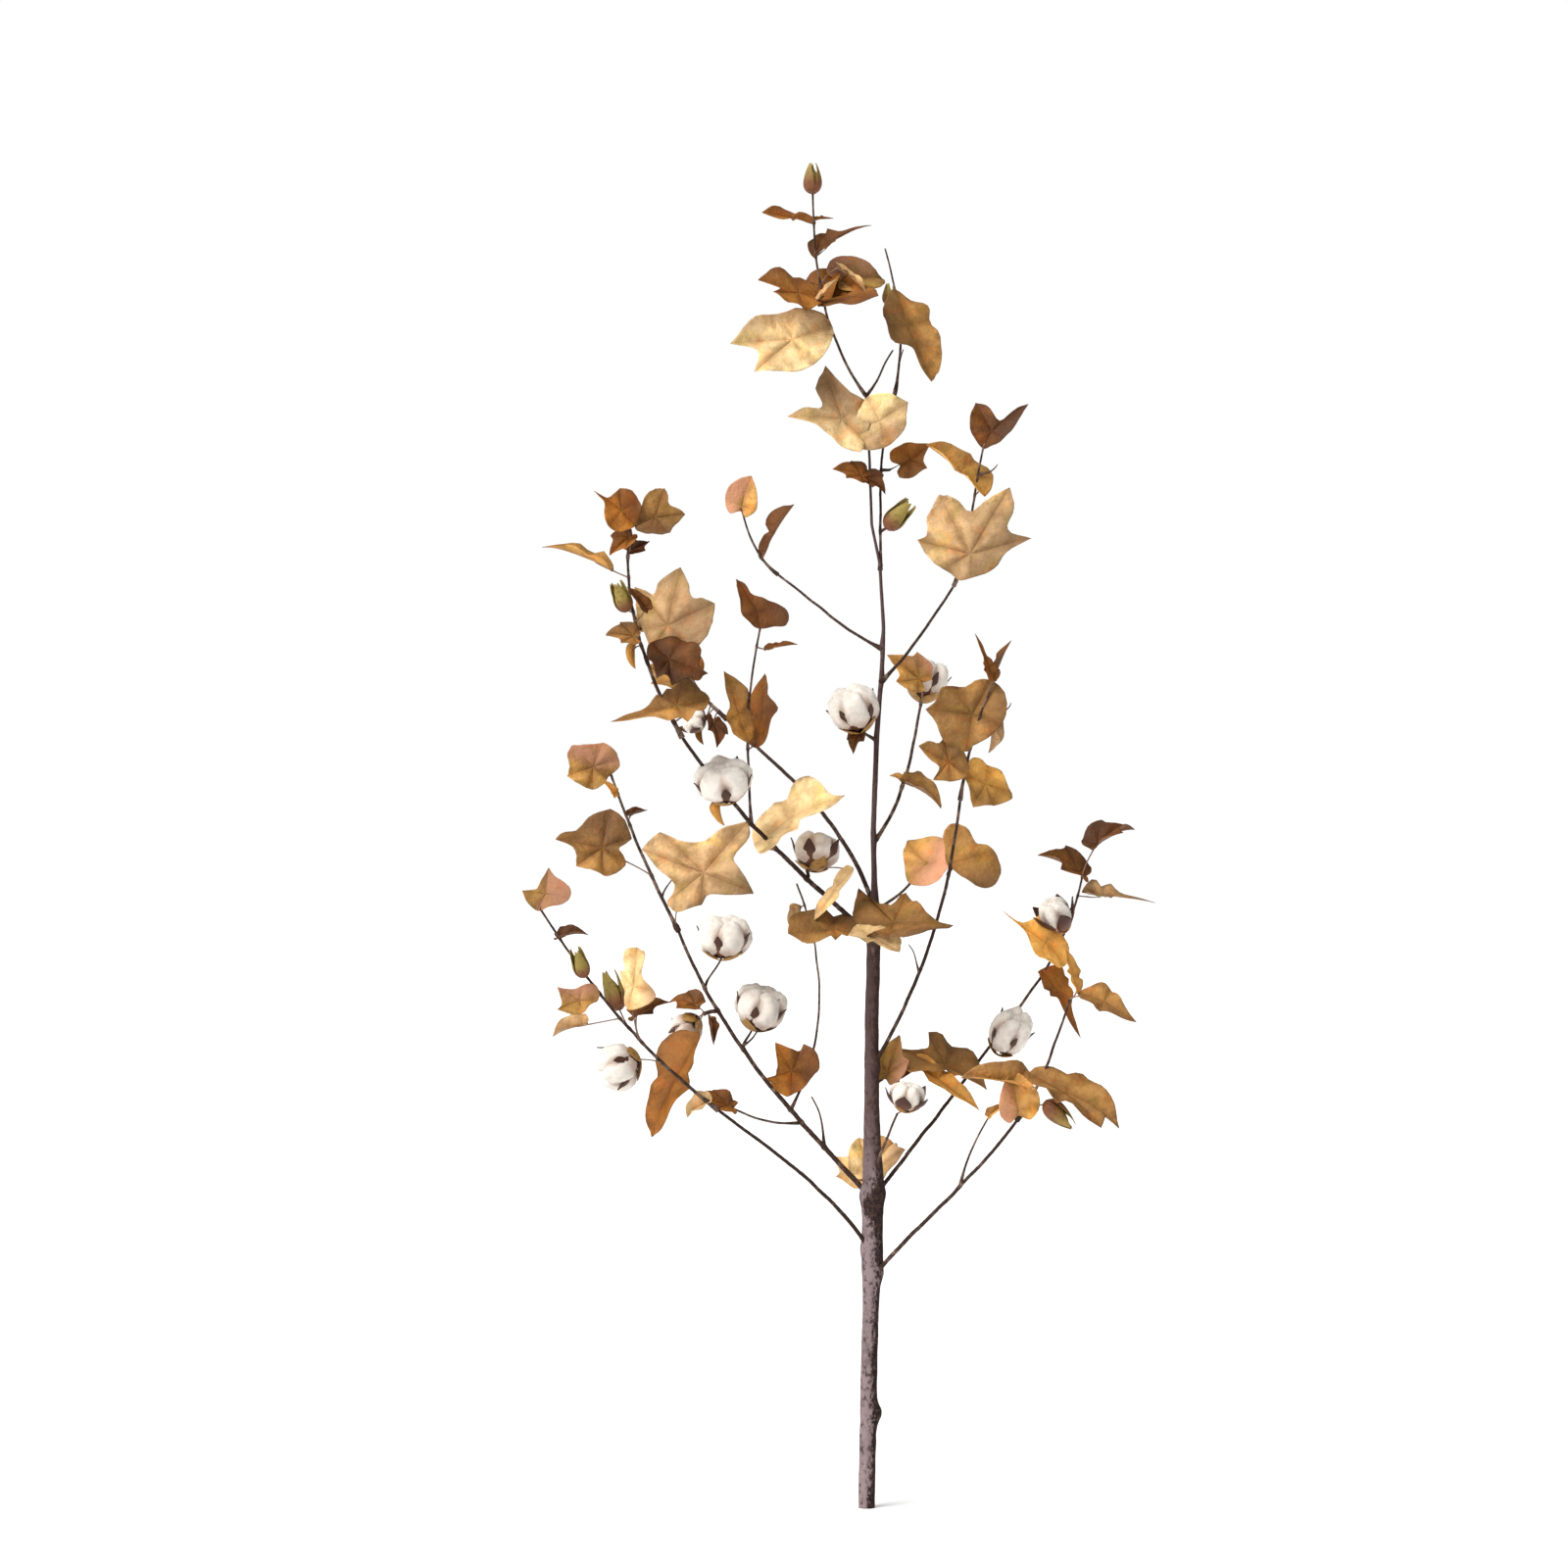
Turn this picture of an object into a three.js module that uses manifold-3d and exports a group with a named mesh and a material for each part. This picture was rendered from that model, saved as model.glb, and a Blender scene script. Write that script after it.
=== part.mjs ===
// A dried cotton branch, 1.83 m tall: one straight stem with a flat cut foot, slim boughs,
// lobed leaves on short stalks, open bolls of cotton and a few closed buds.
// Millimetres, +Z up. The origin is the centre of the flat cut, the front looks towards -Y,
// and +X is to the right in the front view.

import * as THREE from "three";
import { mergeVertices } from "three/addons/utils/BufferGeometryUtils.js";
import Module from "manifold-3d";

const wasm = await Module();
wasm.setup();

// Driving dimensions
const GAP = 0.3; // between a limb and what it grows on
const CUT_MARGIN = 0.05; // added to the gap, because meshes hold 32-bit numbers
const SIGHT = new THREE.Vector3(-112, -6000, 982); // the eye that sees the front view
const TRUNK_SIDES = 9;
const BOUGH_SIDES = 6;
const BOUGH_STEP = 48; // length of one straight piece of a bough
const STEM_SIDES = 4;
const STEM_STEP = 56;
const STALK_SIDES = 3;
const STALK_RADIUS = 1.3;
const LEAST_STALK = 7; // a head nearer to its stem than this grows straight from it
const SINK = 2.4; // how far a head's foot lies inside its stalk or stem
const BLADE_THICKNESS = 0.016; // a share of the blade's length
const LEAST_BLADE_THICKNESS = 1.1;
const BLADE_CENTRE = 0.12; // from the stalk to the point that the outline turns round, a share too
const CURVE_HANDLE = 0.36; // a limb's curve handles, as a share of its chord
const STALK_BEND = { middle: 0.55, behind: 0.14 }; // the stalk's one curve handle, in its lengths

// Shapes of the heads, in radii: how far each part stands from the middle.
const BOLL = { top: 0.82, lock: 1.04, seam: 0.88, foot: 0.86, husk: 1.28, huskHeight: 0.12, centre: 0.84 };
const BOLL_TALL = 1.68;
const BUD = { egg: 1.2, point: 1.9, centre: 1.1 };
const BUD_TALL = 3;

// The stem: height, sideways lean and radius. It is slim above the top pair of boughs.
const TRUNK_PROFILE = [
  [0, 0, 11.2],
  [160, 3, 11.3],
  [285, 6, 11.2],
  [335, 8, 14.8],
  [390, 8, 14.2],
  [428, 9, 15.8],
  [480, 8, 12.4],
  [545, 7, 10.2],
  [660, 7, 9.3],
  [770, 10, 9.3],
  [835, 11, 5],
  [915, 9, 4.5],
  [1048, 14, 4.4],
  [1155, 22, 3.7],
  [1195, 23, 3.1],
  [1281, 18, 2.7],
  [1334, 7, 2.4],
  [1424, 4, 2.2],
  [1509, -1, 2],
];
const KNOT = { height: 130, side: 8, radius: 9, tall: 1.9 }; // on the stem's right

// Half a blade's outline round its centre: the angle from the midrib in degrees, and the reach.
const OUTLINES = {
  five: [[0, 1], [12, 0.76], [26, 0.58], [44, 0.8], [66, 0.52], [92, 0.54], [134, 0.34], [180, 0.17]],
  three: [[0, 1], [16, 0.72], [32, 0.6], [46, 0.68], [86, 0.46], [138, 0.32], [180, 0.17]],
  round: [[0, 1], [20, 0.82], [50, 0.66], [92, 0.54], [138, 0.4], [180, 0.17]],
  narrow: [[0, 1], [14, 0.68], [34, 0.42], [82, 0.26], [180, 0.16]],
};

const TINTS = {
  straw: 0xe3bc80,
  gold: 0xc8923f,
  tan: 0xb98f5b,
  khaki: 0x97743f,
  brown: 0x7a5226,
  umber: 0x50331c,
  rosy: 0xb5745a,
  bark: 0x7d6a64,
  twig: 0x4c3626,
  cotton: 0xf2ede4,
};

// Rows of the plan. A point is [across, up, back] in the front view as the eye at SIGHT sees it.
// A bough's tip gives its depth from the middle of the plant, a spray's tip from its foot, a base
// from its place on the stem, and a leaf's tip from its base.
// at is that place: a height on the trunk, or a share of a bough's or stem's length.
// tilt turns a leaf's face from the front, 0, towards the sky, 90.
const leaf = (at, base, tip, tilt, shape = "three") => ({ make: bladeSolid, at, base, tip, tilt, shape });
const boll = (at, base, tip, wide) => ({ make: bollSolid, at, base, tip, wide });
const bud = (at, base, tip, wide) => ({ make: budSolid, at, base, tip, wide });

// Boughs. leave and arrive are the directions at the two ends, 0 to the right and 90 up, and
// wide holds the radii there.
const BOUGHS = {
  bough_low_left: {
    on: "trunk", at: 345, tip: [-201, 539, -100],
    leave: 122, arrive: 142, wide: [3.6, 2.6],
  },
  bough_left_long: {
    on: "trunk", at: 418, tip: [-255, 782, 140],
    leave: 134, arrive: 112, wide: [4.6, 2.8],
  },
  bough_low_right: {
    on: "trunk", at: 312, tip: [204, 525, -150],
    leave: 52, arrive: 56, wide: [3.8, 2.6],
  },
  bough_right_long: {
    on: "trunk", at: 420, tip: [184, 649, 150],
    leave: 50, arrive: 52, wide: [3.6, 2.5],
  },
  bough_mid_left: {
    on: "trunk", at: 772, tip: [-250, 1045, -170],
    leave: 138, arrive: 124, wide: [4.6, 2.8],
  },
  bough_inner_left: {
    on: "trunk", at: 812, tip: [-190, 1070, 160],
    leave: 106, arrive: 137, wide: [4, 2.6],
  },
  bough_mid_right: {
    on: "trunk", at: 596, tip: [127, 960, -100],
    leave: 60, arrive: 84, wide: [3.4, 2.4],
  },
  bough_upper_left: {
    on: "trunk", at: 1165, tip: [-120, 1266, 100],
    leave: 154, arrive: 142, wide: [2.6, 2],
  },
  bough_upper_right: {
    on: "trunk", at: 1120, tip: [118, 1250, -90],
    leave: 45, arrive: 57, wide: [2.8, 2.2],
  },
  bough_top_right: {
    on: "trunk", at: 1272, tip: [38, 1511, 26],
    leave: 88, arrive: 72, wide: [2.4, 1.9],
  },
};

// Sprays: a slim stem on a bough or on the trunk, with the leaves, bolls and buds on it.
// tint is the colour of most of the spray.
const SPRAYS = {
  spray_far_left: {
    on: "bough_low_left", at: 1, tip: [-443, 813, -60], leave: 142, arrive: 122,
    wide: [2.5, 1.5], tint: "rosy",
    parts: [
      leaf(1, [-444, 818, 0], [-432, 873, 12], 15, "round"),
      leaf(0.87, [-414, 775, -4], [-380, 793, -14], 62, "narrow"),
      bud(0.72, [-383, 722, -10], [-396, 760, -18], 22),
      leaf(0.62, [-372, 689, -8], [-421, 687, -14], 20),
      leaf(0.5, [-381, 655, 18], [-432, 646, 20], 50, "narrow"),
      bud(0.45, [-336, 677, 6], [-352, 730, 10], 28),
      leaf(0.4, [-318, 686, -14], [-312, 760, -30], 42),
      leaf(0.38, [-314, 668, -26], [-270, 692, -24], 55),
      boll(0.27, [-313, 609, -24], [-370, 585, -14], 62),
      leaf(0.06, [-212, 552, 8], [-254, 534, 26], 40, "narrow"),
    ],
  },
  spray_left_fork: {
    on: "bough_left_long", at: 0.73, tip: [-222, 670, -14], leave: 182, arrive: 194,
    wide: [2, 1.8], tint: "brown",
    parts: [
      leaf(0.9, [-229, 681, 8], [-270, 698, 14], 50),
      boll(1, [-232, 662, 12], [-262, 632, 22], 46),
      leaf(1, [-238, 635, -16], [-302, 513, -34], 62),
      leaf(0.6, [-214, 662, -6], [-208, 628, -10], 55, "narrow"),
    ],
  },
  stub_left: {
    on: "bough_left_long", at: 0.21, tip: [-75, 558, -22], leave: 96, arrive: 120,
    wide: [1.8, 1.1], tint: "twig",
    parts: [],
  },
  stalk_left_low: {
    on: "bough_left_long", at: 0.31, tip: [-184, 543, -70], leave: 184, arrive: 152,
    wide: [1.8, 1.4], tint: "brown",
    parts: [leaf(1, [-188, 546, -2], [-233, 569, -16], 62)],
  },
  twig_left_inner: {
    on: "bough_left_long", at: 0.36, tip: [-95, 847, 66], leave: 62, arrive: 112,
    wide: [1.9, 1.3], tint: "brown",
    parts: [
      leaf(0.1, [-100, 566, -10], [-117, 628, -22], 22),
      leaf(0.9, [-90, 814, 5], [-96, 768, 16], 60, "narrow"),
    ],
  },
  boll_left_low: {
    on: "bough_left_long", at: 0.59, tip: [-154, 654, 12], leave: 90, arrive: 80,
    wide: [1.6, 1.4], tint: "cotton",
    parts: [boll(1, [-152, 656, 0], [-130, 714, -18], 70)],
  },
  boll_left_mid: {
    on: "bough_left_long", at: 0.81, tip: [-196, 749, -58], leave: 76, arrive: 78,
    wide: [1.6, 1.4], tint: "cotton",
    parts: [boll(1, [-195, 751, 0], [-188, 812, -14], 72)],
  },
  spray_left_long: {
    on: "bough_left_long", at: 1, tip: [-347, 995, 90], leave: 118, arrive: 110,
    wide: [2.7, 1.7], tint: "khaki",
    parts: [
      leaf(0.03, [-257, 817, -10], [-165, 931, -40], 12, "five"),
      leaf(0.36, [-328, 878, -10], [-421, 906, -20], 24, "five"),
      leaf(0.68, [-322, 939, 6], [-298, 948, 8], 50, "narrow"),
      leaf(0.88, [-344, 967, -4], [-355, 990, -10], 40, "narrow"),
      leaf(1, [-352, 996, -2], [-409, 1013, -12], 14, "round"),
    ],
  },
  leaf_left_boat: {
    on: "bough_mid_left", at: 0.49, tip: [-142, 893, -10], leave: 210, arrive: 240,
    wide: [1.8, 1.6], tint: "straw",
    parts: [leaf(1, [-142, 896, -3], [-42, 985, -30], 58)],
  },
  boll_left_high: {
    on: "bough_mid_left", at: 0.72, tip: [-190, 962, -14], leave: 250, arrive: 200,
    wide: [1.8, 1.6], tint: "cotton",
    parts: [
      boll(1, [-192, 965, -4], [-202, 1021, -30], 74),
      leaf(0.8, [-199, 960, -6], [-202, 926, -12], 50, "narrow"),
    ],
  },
  boll_left_inner: {
    on: "bough_mid_left", at: 0.33, tip: [-80, 866, 12], leave: 20, arrive: 60,
    wide: [1.8, 1.4], tint: "cotton",
    parts: [
      boll(1, [-71, 868, 4], [-65, 922, 14], 60),
      leaf(0.9, [-76, 838, -16], [-23, 869, -20], 55, "narrow"),
    ],
  },
  twig_mid_left: {
    on: "bough_mid_left", at: 0.61, tip: [-144, 1195, -40], leave: 94, arrive: 78,
    wide: [1.9, 1.4], tint: "gold",
    parts: [
      leaf(0.4, [-160, 1044, -4], [-177, 1128, -26], 46),
      leaf(0.38, [-156, 1038, 4], [-142, 1128, 30], 50),
      leaf(1, [-145, 1200, -2], [-170, 1267, -10], 22, "round"),
      leaf(0.9, [-136, 1164, 4], [-94, 1176, 8], 66, "narrow"),
    ],
  },
  spray_upper_left: {
    on: "bough_mid_left", at: 1, tip: [-322, 1328, -60], leave: 119, arrive: 84,
    wide: [2.7, 1.6], tint: "gold",
    parts: [
      leaf(0.08, [-222, 1097, -12], [-347, 1067, -36], 52),
      leaf(0.38, [-288, 1168, -10], [-227, 1117, -30], 26),
      leaf(0.4, [-284, 1170, 8], [-256, 1273, -28], 10, "five"),
      leaf(0.58, [-300, 1216, 34], [-325, 1248, 26], 20),
      leaf(0.5, [-314, 1181, -14], [-351, 1193, -16], 40),
      leaf(0.46, [-315, 1168, -4], [-319, 1140, -12], 40, "narrow"),
      boll(0.54, [-306, 1196, 22], [-288, 1224, 34], 34),
      bud(0.62, [-325, 1218, -4], [-341, 1258, -10], 24),
      leaf(0.78, [-348, 1273, 8], [-436, 1320, 30], 62, "narrow"),
      leaf(0.88, [-329, 1301, -6], [-354, 1296, -12], 30, "narrow"),
      leaf(0.87, [-321, 1298, 6], [-295, 1311, 10], 34),
      leaf(1, [-315, 1338, -6], [-363, 1380, -18], 20),
      leaf(1, [-311, 1340, 6], [-247, 1350, -12], 20, "round"),
    ],
  },
  spray_inner_left: {
    on: "bough_inner_left", at: 1, tip: [-239, 1126, 40], leave: 137, arrive: 124,
    wide: [2.5, 1.6], tint: "brown",
    parts: [
      boll(0.4, [-226, 1061, -16], [-246, 1077, -20], 34),
      leaf(0.2, [-208, 1068, -12], [-198, 1034, -22], 50),
      leaf(0.3, [-222, 1066, -4], [-230, 1036, -6], 50, "narrow"),
      leaf(1, [-241, 1129, 0], [-259, 1176, -12], 24),
      leaf(0.9, [-242, 1118, 12], [-296, 1146, 42], 30),
    ],
  },
  spray_upper_left_tip: {
    on: "bough_upper_left", at: 1, tip: [-170, 1356, 30], leave: 144, arrive: 106,
    wide: [1.9, 1.3], tint: "brown",
    parts: [
      leaf(1, [-171, 1360, 0], [-160, 1405, -10], 20, "round"),
      leaf(0.3, [-146, 1287, -3], [-111, 1361, -18], 60, "narrow"),
    ],
  },
  spray_upper_right: {
    on: "bough_upper_right", at: 1, tip: [159, 1440, -30], leave: 66, arrive: 76,
    wide: [2.1, 1.4], tint: "tan",
    parts: [
      leaf(0.06, [125, 1267, -8], [192, 1383, -40], 8, "five"),
      leaf(0.66, [154, 1381, -2], [92, 1450, -14], 52, "narrow"),
      leaf(1, [162, 1444, 0], [185, 1505, 16], 14),
    ],
  },
  spray_top: {
    on: "trunk", at: 1509, tip: [-73, 1785, 0], leave: 126, arrive: 91,
    wide: [1.9, 1.3], tint: "brown",
    parts: [
      leaf(0.36, [-57, 1608, -6], [-182, 1589, -46], 24),
      leaf(0.52, [-67, 1647, -4], [-145, 1675, -20], 54, "five"),
      leaf(0.5, [-61, 1643, -3], [28, 1663, -26], 56, "five"),
      leaf(0.58, [-46, 1658, 18], [14, 1689, 34], 40),
      leaf(0.7, [-66, 1696, -2], [-2, 1738, -12], 62, "narrow"),
      leaf(0.86, [-74, 1743, -2], [-141, 1757, -16], 52, "narrow"),
      leaf(0.87, [-69, 1742, 3], [-42, 1748, 10], 50, "narrow"),
      bud(1, [-73, 1787, 0], [-73, 1829, 0], 25),
    ],
  },
  spray_top_right: {
    on: "bough_top_right", at: 1, tip: [25, 1709, 12], leave: 78, arrive: 106,
    wide: [1.9, 1.2], tint: "khaki",
    parts: [
      leaf(0.7, [38, 1650, -8], [100, 1540, -26], 42),
      bud(0.6, [29, 1634, 4], [31, 1662, 8], 16),
      leaf(0.4, [50, 1580, 18], [72, 1612, 50], 20),
    ],
  },
  leaves_top_bright: {
    on: "trunk", at: 1457, tip: [-6, 1463, -22], leave: 150, arrive: 120,
    wide: [1.8, 1.6], tint: "gold",
    parts: [
      leaf(1, [-9, 1464, -3], [-108, 1496, -24], 22, "five"),
      leaf(0.9, [-1, 1465, -3], [60, 1498, -16], 8, "round"),
    ],
  },
  leaves_top_brown: {
    on: "trunk", at: 1392, tip: [-4, 1399, -16], leave: 130, arrive: 120,
    wide: [1.7, 1.5], tint: "umber",
    parts: [
      leaf(1, [-7, 1401, -2], [-44, 1422, -10], 48),
      leaf(0.8, [1, 1398, -4], [33, 1386, -14], 40),
    ],
  },
  leaf_top_right: {
    on: "bough_top_right", at: 0.56, tip: [33, 1409, -10], leave: 10, arrive: 20,
    wide: [1.5, 1.3], tint: "umber",
    parts: [leaf(1, [37, 1411, -2], [92, 1442, -8], 20)],
  },
  bud_top_right: {
    on: "bough_top_right", at: 0.22, tip: [28, 1330, -8], leave: 20, arrive: 35,
    wide: [1.5, 1.3], tint: "khaki",
    parts: [bud(1, [29, 1331, 0], [63, 1367, -10], 28)],
  },
  spray_inner_right: {
    on: "trunk", at: 902, tip: [75, 1098, 130], leave: 52, arrive: 78,
    wide: [2.6, 1.8], tint: "rosy",
    parts: [
      leaf(0.4, [51, 984, -6], [107, 962, -20], 58, "narrow"),
      leaf(0.42, [47, 987, 2], [32, 998, 12], 50, "narrow"),
      boll(1, [78, 1103, 2], [96, 1162, 10], 56),
      leaf(0.96, [74, 1122, -28], [33, 1158, -26], 12),
    ],
  },
  boll_centre: {
    on: "trunk", at: 1040, tip: [-8, 1058, -26], leave: 130, arrive: 120,
    wide: [2, 1.7], tint: "cotton",
    parts: [
      boll(1, [-11, 1061, -3], [-33, 1122, -22], 67),
      leaf(0.8, [-8, 1056, -6], [-22, 1026, -12], 48),
    ],
  },
  spray_mid_right: {
    on: "bough_mid_right", at: 1, tip: [175, 1126, -50], leave: 82, arrive: 66,
    wide: [2.3, 1.4], tint: "khaki",
    parts: [
      leaf(0.26, [130, 1002, -6], [74, 1036, -22], 22),
      leaf(0.2, [136, 994, 6], [205, 974, 22], 26, "round"),
      leaf(0.42, [142, 1034, -4], [163, 1126, -30], 10, "round"),
      leaf(0.7, [168, 1068, 12], [176, 1022, 24], 55, "narrow"),
      leaf(1, [174, 1128, -2], [150, 1187, -10], 64, "narrow"),
      leaf(1, [178, 1128, 3], [193, 1182, 12], 64, "narrow"),
    ],
  },
  leaf_mid_right_stalked: {
    on: "trunk", at: 808, tip: [60, 848, -26], leave: 38, arrive: 50,
    wide: [2.2, 1.6], tint: "rosy",
    parts: [leaf(1, [62, 853, -2], [90, 919, 18], 36, "round")],
  },
  leaf_mid_right: {
    on: "bough_mid_right", at: 0.74, tip: [116, 868, 14], leave: 40, arrive: 40,
    wide: [1.8, 1.5], tint: "khaki",
    parts: [leaf(1, [113, 868, 3], [187, 884, 12], 8, "round")],
  },
  leaves_fork_front: {
    on: "trunk", at: 736, tip: [8, 776, -72], leave: 90, arrive: 90,
    wide: [2.4, 2], tint: "khaki",
    parts: [
      leaf(0.96, [4, 781, -6], [-103, 800, -30], 70, "five"),
      leaf(1, [12, 782, -6], [113, 801, -34], 64, "five"),
      leaf(0.8, [14, 772, -4], [62, 766, -26], 60),
    ],
  },
  leaves_low_back: {
    on: "trunk", at: 424, tip: [0, 440, 58], leave: 90, arrive: 90,
    wide: [2.2, 1.8], tint: "gold",
    parts: [
      leaf(1, [-6, 443, 4], [-43, 476, 22], 30),
      leaf(1, [2, 446, 8], [37, 519, 46], 24),
    ],
  },
  leaf_low_right: {
    on: "trunk", at: 572, tip: [22, 582, 24], leave: 40, arrive: 40,
    wide: [2, 1.6], tint: "rosy",
    parts: [leaf(1, [27, 585, 2], [43, 641, 12], 22)],
  },
  boll_low_right: {
    on: "trunk", at: 440, tip: [42, 535, -56], leave: 80, arrive: 68,
    wide: [2.2, 1.5], tint: "cotton",
    parts: [boll(1, [50, 538, 0], [62, 586, -8], 48)],
  },
  leaves_right_long: {
    on: "bough_right_long", at: 0.78, tip: [152, 592, -24], leave: 340, arrive: 330,
    wide: [1.8, 1.6], tint: "khaki",
    parts: [
      leaf(1, [152, 582, -5], [39, 634, -40], 64, "five"),
      leaf(0.9, [108, 588, -20], [158, 545, -30], 64),
    ],
  },
  spray_far_right: {
    on: "bough_right_long", at: 1, tip: [293, 858, 90], leave: 50, arrive: 78,
    wide: [2.4, 1.4], tint: "gold",
    parts: [
      boll(0.06, [182, 622, -40], [212, 675, -54], 54),
      leaf(0.38, [234, 724, -6], [295, 649, -22], 56, "narrow"),
      leaf(0.56, [262, 752, -8], [195, 814, -24], 40),
      boll(0.72, [268, 786, -14], [238, 832, -26], 48),
      leaf(0.88, [298, 830, 4], [401, 823, 14], 74, "narrow"),
      leaf(1, [292, 862, -2], [240, 903, -14], 62),
      leaf(1, [309, 899, 14], [357, 926, 20], 58),
    ],
  },
  twig_low_right: {
    on: "bough_low_right", at: 0.6, tip: [167, 532, -20], leave: 80, arrive: 62,
    wide: [1.7, 1.2], tint: "twig",
    parts: [leaf(1, [166, 534, 0], [184, 552, -8], 40, "narrow")],
  },
  spray_low_right: {
    on: "bough_low_right", at: 1, tip: [276, 690, -70], leave: 58, arrive: 74,
    wide: [2.5, 1.5], tint: "tan",
    parts: [
      leaf(0.1, [206, 536, -8], [200, 588, -20], 14, "round"),
      bud(0.05, [243, 549, -12], [280, 517, -16], 30),
      leaf(0.34, [222, 584, -14], [343, 526, -44], 62),
      leaf(1, [286, 699, 6], [275, 753, 14], 54, "narrow"),
      leaf(1, [289, 695, -4], [361, 667, -18], 60),
    ],
  },
};

const radians = THREE.MathUtils.degToRad;
const tracks = new Map(); // each limb's curve and radii, by name

function heading(aim, lean) {
  const round = radians(aim);
  const back = radians(lean);
  return new THREE.Vector3(
    Math.cos(back) * Math.cos(round), Math.sin(back), Math.cos(back) * Math.sin(round));
}

// The point at a depth that the eye sees at a place of the front view.
function seen([across, up], depth) {
  const point = new THREE.Vector3(across, 0, up);
  return point.lerp(SIGHT, depth / SIGHT.y);
}

// Numbers from 0 to 1 in a fixed order, so that the same seed gives the same plant anywhere.
function seeded(seed) {
  let state = seed;
  return () => {
    state = (state * 16807) % 2147483647;
    return state / 2147483647;
  };
}

function solid(geometry) {
  const bare = geometry.clone();
  bare.deleteAttribute("normal");
  bare.deleteAttribute("uv");
  const merged = mergeVertices(bare, 1e-4);
  return new wasm.Manifold(new wasm.Mesh({
    numProp: 3,
    vertProperties: merged.attributes.position.array,
    triVerts: new Uint32Array(merged.index.array),
  }));
}

function reshape(geometry, move) {
  const position = geometry.attributes.position;
  const v = new THREE.Vector3();
  for (let i = 0; i < position.count; i++) {
    move(v.fromBufferAttribute(position, i));
    position.setXYZ(i, v.x, v.y, v.z);
  }
  return geometry;
}

// A round rod along a curve, from one radius to the other. grow swells it all round and at its ends.
function rod({ curve, wide }, sides, steps, grow = 0) {
  const frames = curve.computeFrenetFrames(steps, false);
  return reshape(new THREE.CylinderGeometry(1, 1, steps, sides, steps), (v) => {
    const ring = Math.round(v.y + steps / 2);
    const share = ring / steps;
    const radius = THREE.MathUtils.lerp(wide[0], wide[1], share) + grow;
    const side = frames.normals[ring];
    const across = side.clone().cross(frames.tangents[ring]);
    const along = ring === 0 ? -grow : ring === steps ? grow : 0;
    const centre = curve.getPointAt(share).addScaledVector(frames.tangents[ring], along);
    v.copy(centre.addScaledVector(side, v.x * radius).addScaledVector(across, v.z * radius));
  });
}

function trunkSolid(grow = 0) {
  const steps = TRUNK_PROFILE.length - 1;
  const stem = reshape(new THREE.CylinderGeometry(1, 1, steps, TRUNK_SIDES, steps), (v) => {
    const ring = Math.round(v.y + steps / 2);
    const [height, lean, radius] = TRUNK_PROFILE[ring];
    const past = ring === steps ? grow : 0;
    v.set(lean + v.x * (radius + grow), -v.z * (radius + grow), height + past);
  });
  const knot = new THREE.SphereGeometry(KNOT.radius + grow, 6, 4).scale(0.8, 1, KNOT.tall);
  knot.translate(KNOT.side, 0, KNOT.height);
  return solid(stem).add(solid(knot));
}

function pointOn(name, at) {
  if (name !== "trunk") return tracks.get(name).curve.getPointAt(at);
  const above = TRUNK_PROFILE.findIndex(([height]) => height >= at);
  const [h1, x1] = TRUNK_PROFILE[above];
  const [h0, x0] = TRUNK_PROFILE[Math.max(above - 1, 0)];
  const share = h1 > h0 ? (at - h0) / (h1 - h0) : 0;
  return new THREE.Vector3(THREE.MathUtils.lerp(x0, x1, share), 0, at);
}

function limbTrack({ on, at, tip, leave, arrive, wide }) {
  const foot = pointOn(on, at);
  const end = seen(tip, foot.y + tip[2]);
  const chord = end.clone().sub(foot);
  const lean = THREE.MathUtils.radToDeg(Math.asin(chord.y / chord.length()));
  const handle = chord.length() * CURVE_HANDLE;
  const curve = new THREE.CubicBezierCurve3(
    foot,
    foot.clone().addScaledVector(heading(leave, lean), handle),
    end.clone().addScaledVector(heading(arrive, lean), -handle),
    end,
  );
  return { curve, wide };
}

const stepsOf = (track, step) => Math.max(2, Math.round(track.curve.getLength() / step));

// What a limb grows on, swollen by the gap, so that cutting it away leaves the limb clear of it.
function swollen(name) {
  if (name === "trunk") return trunkSolid(GAP + CUT_MARGIN);
  const track = tracks.get(name);
  return solid(rod(track, BOUGH_SIDES, stepsOf(track, BOUGH_STEP), GAP + CUT_MARGIN));
}

// The way a blade's face looks: to the front, tipped towards the sky, and square to its length.
function facing(along, tilt) {
  const front = new THREE.Vector3(0, -1, 0);
  front.addScaledVector(along, -front.dot(along)).normalize();
  const upward = front.clone().cross(along);
  if (upward.z < 0) upward.negate();
  return front.multiplyScalar(Math.cos(radians(tilt))).addScaledVector(upward, Math.sin(radians(tilt)));
}

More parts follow.
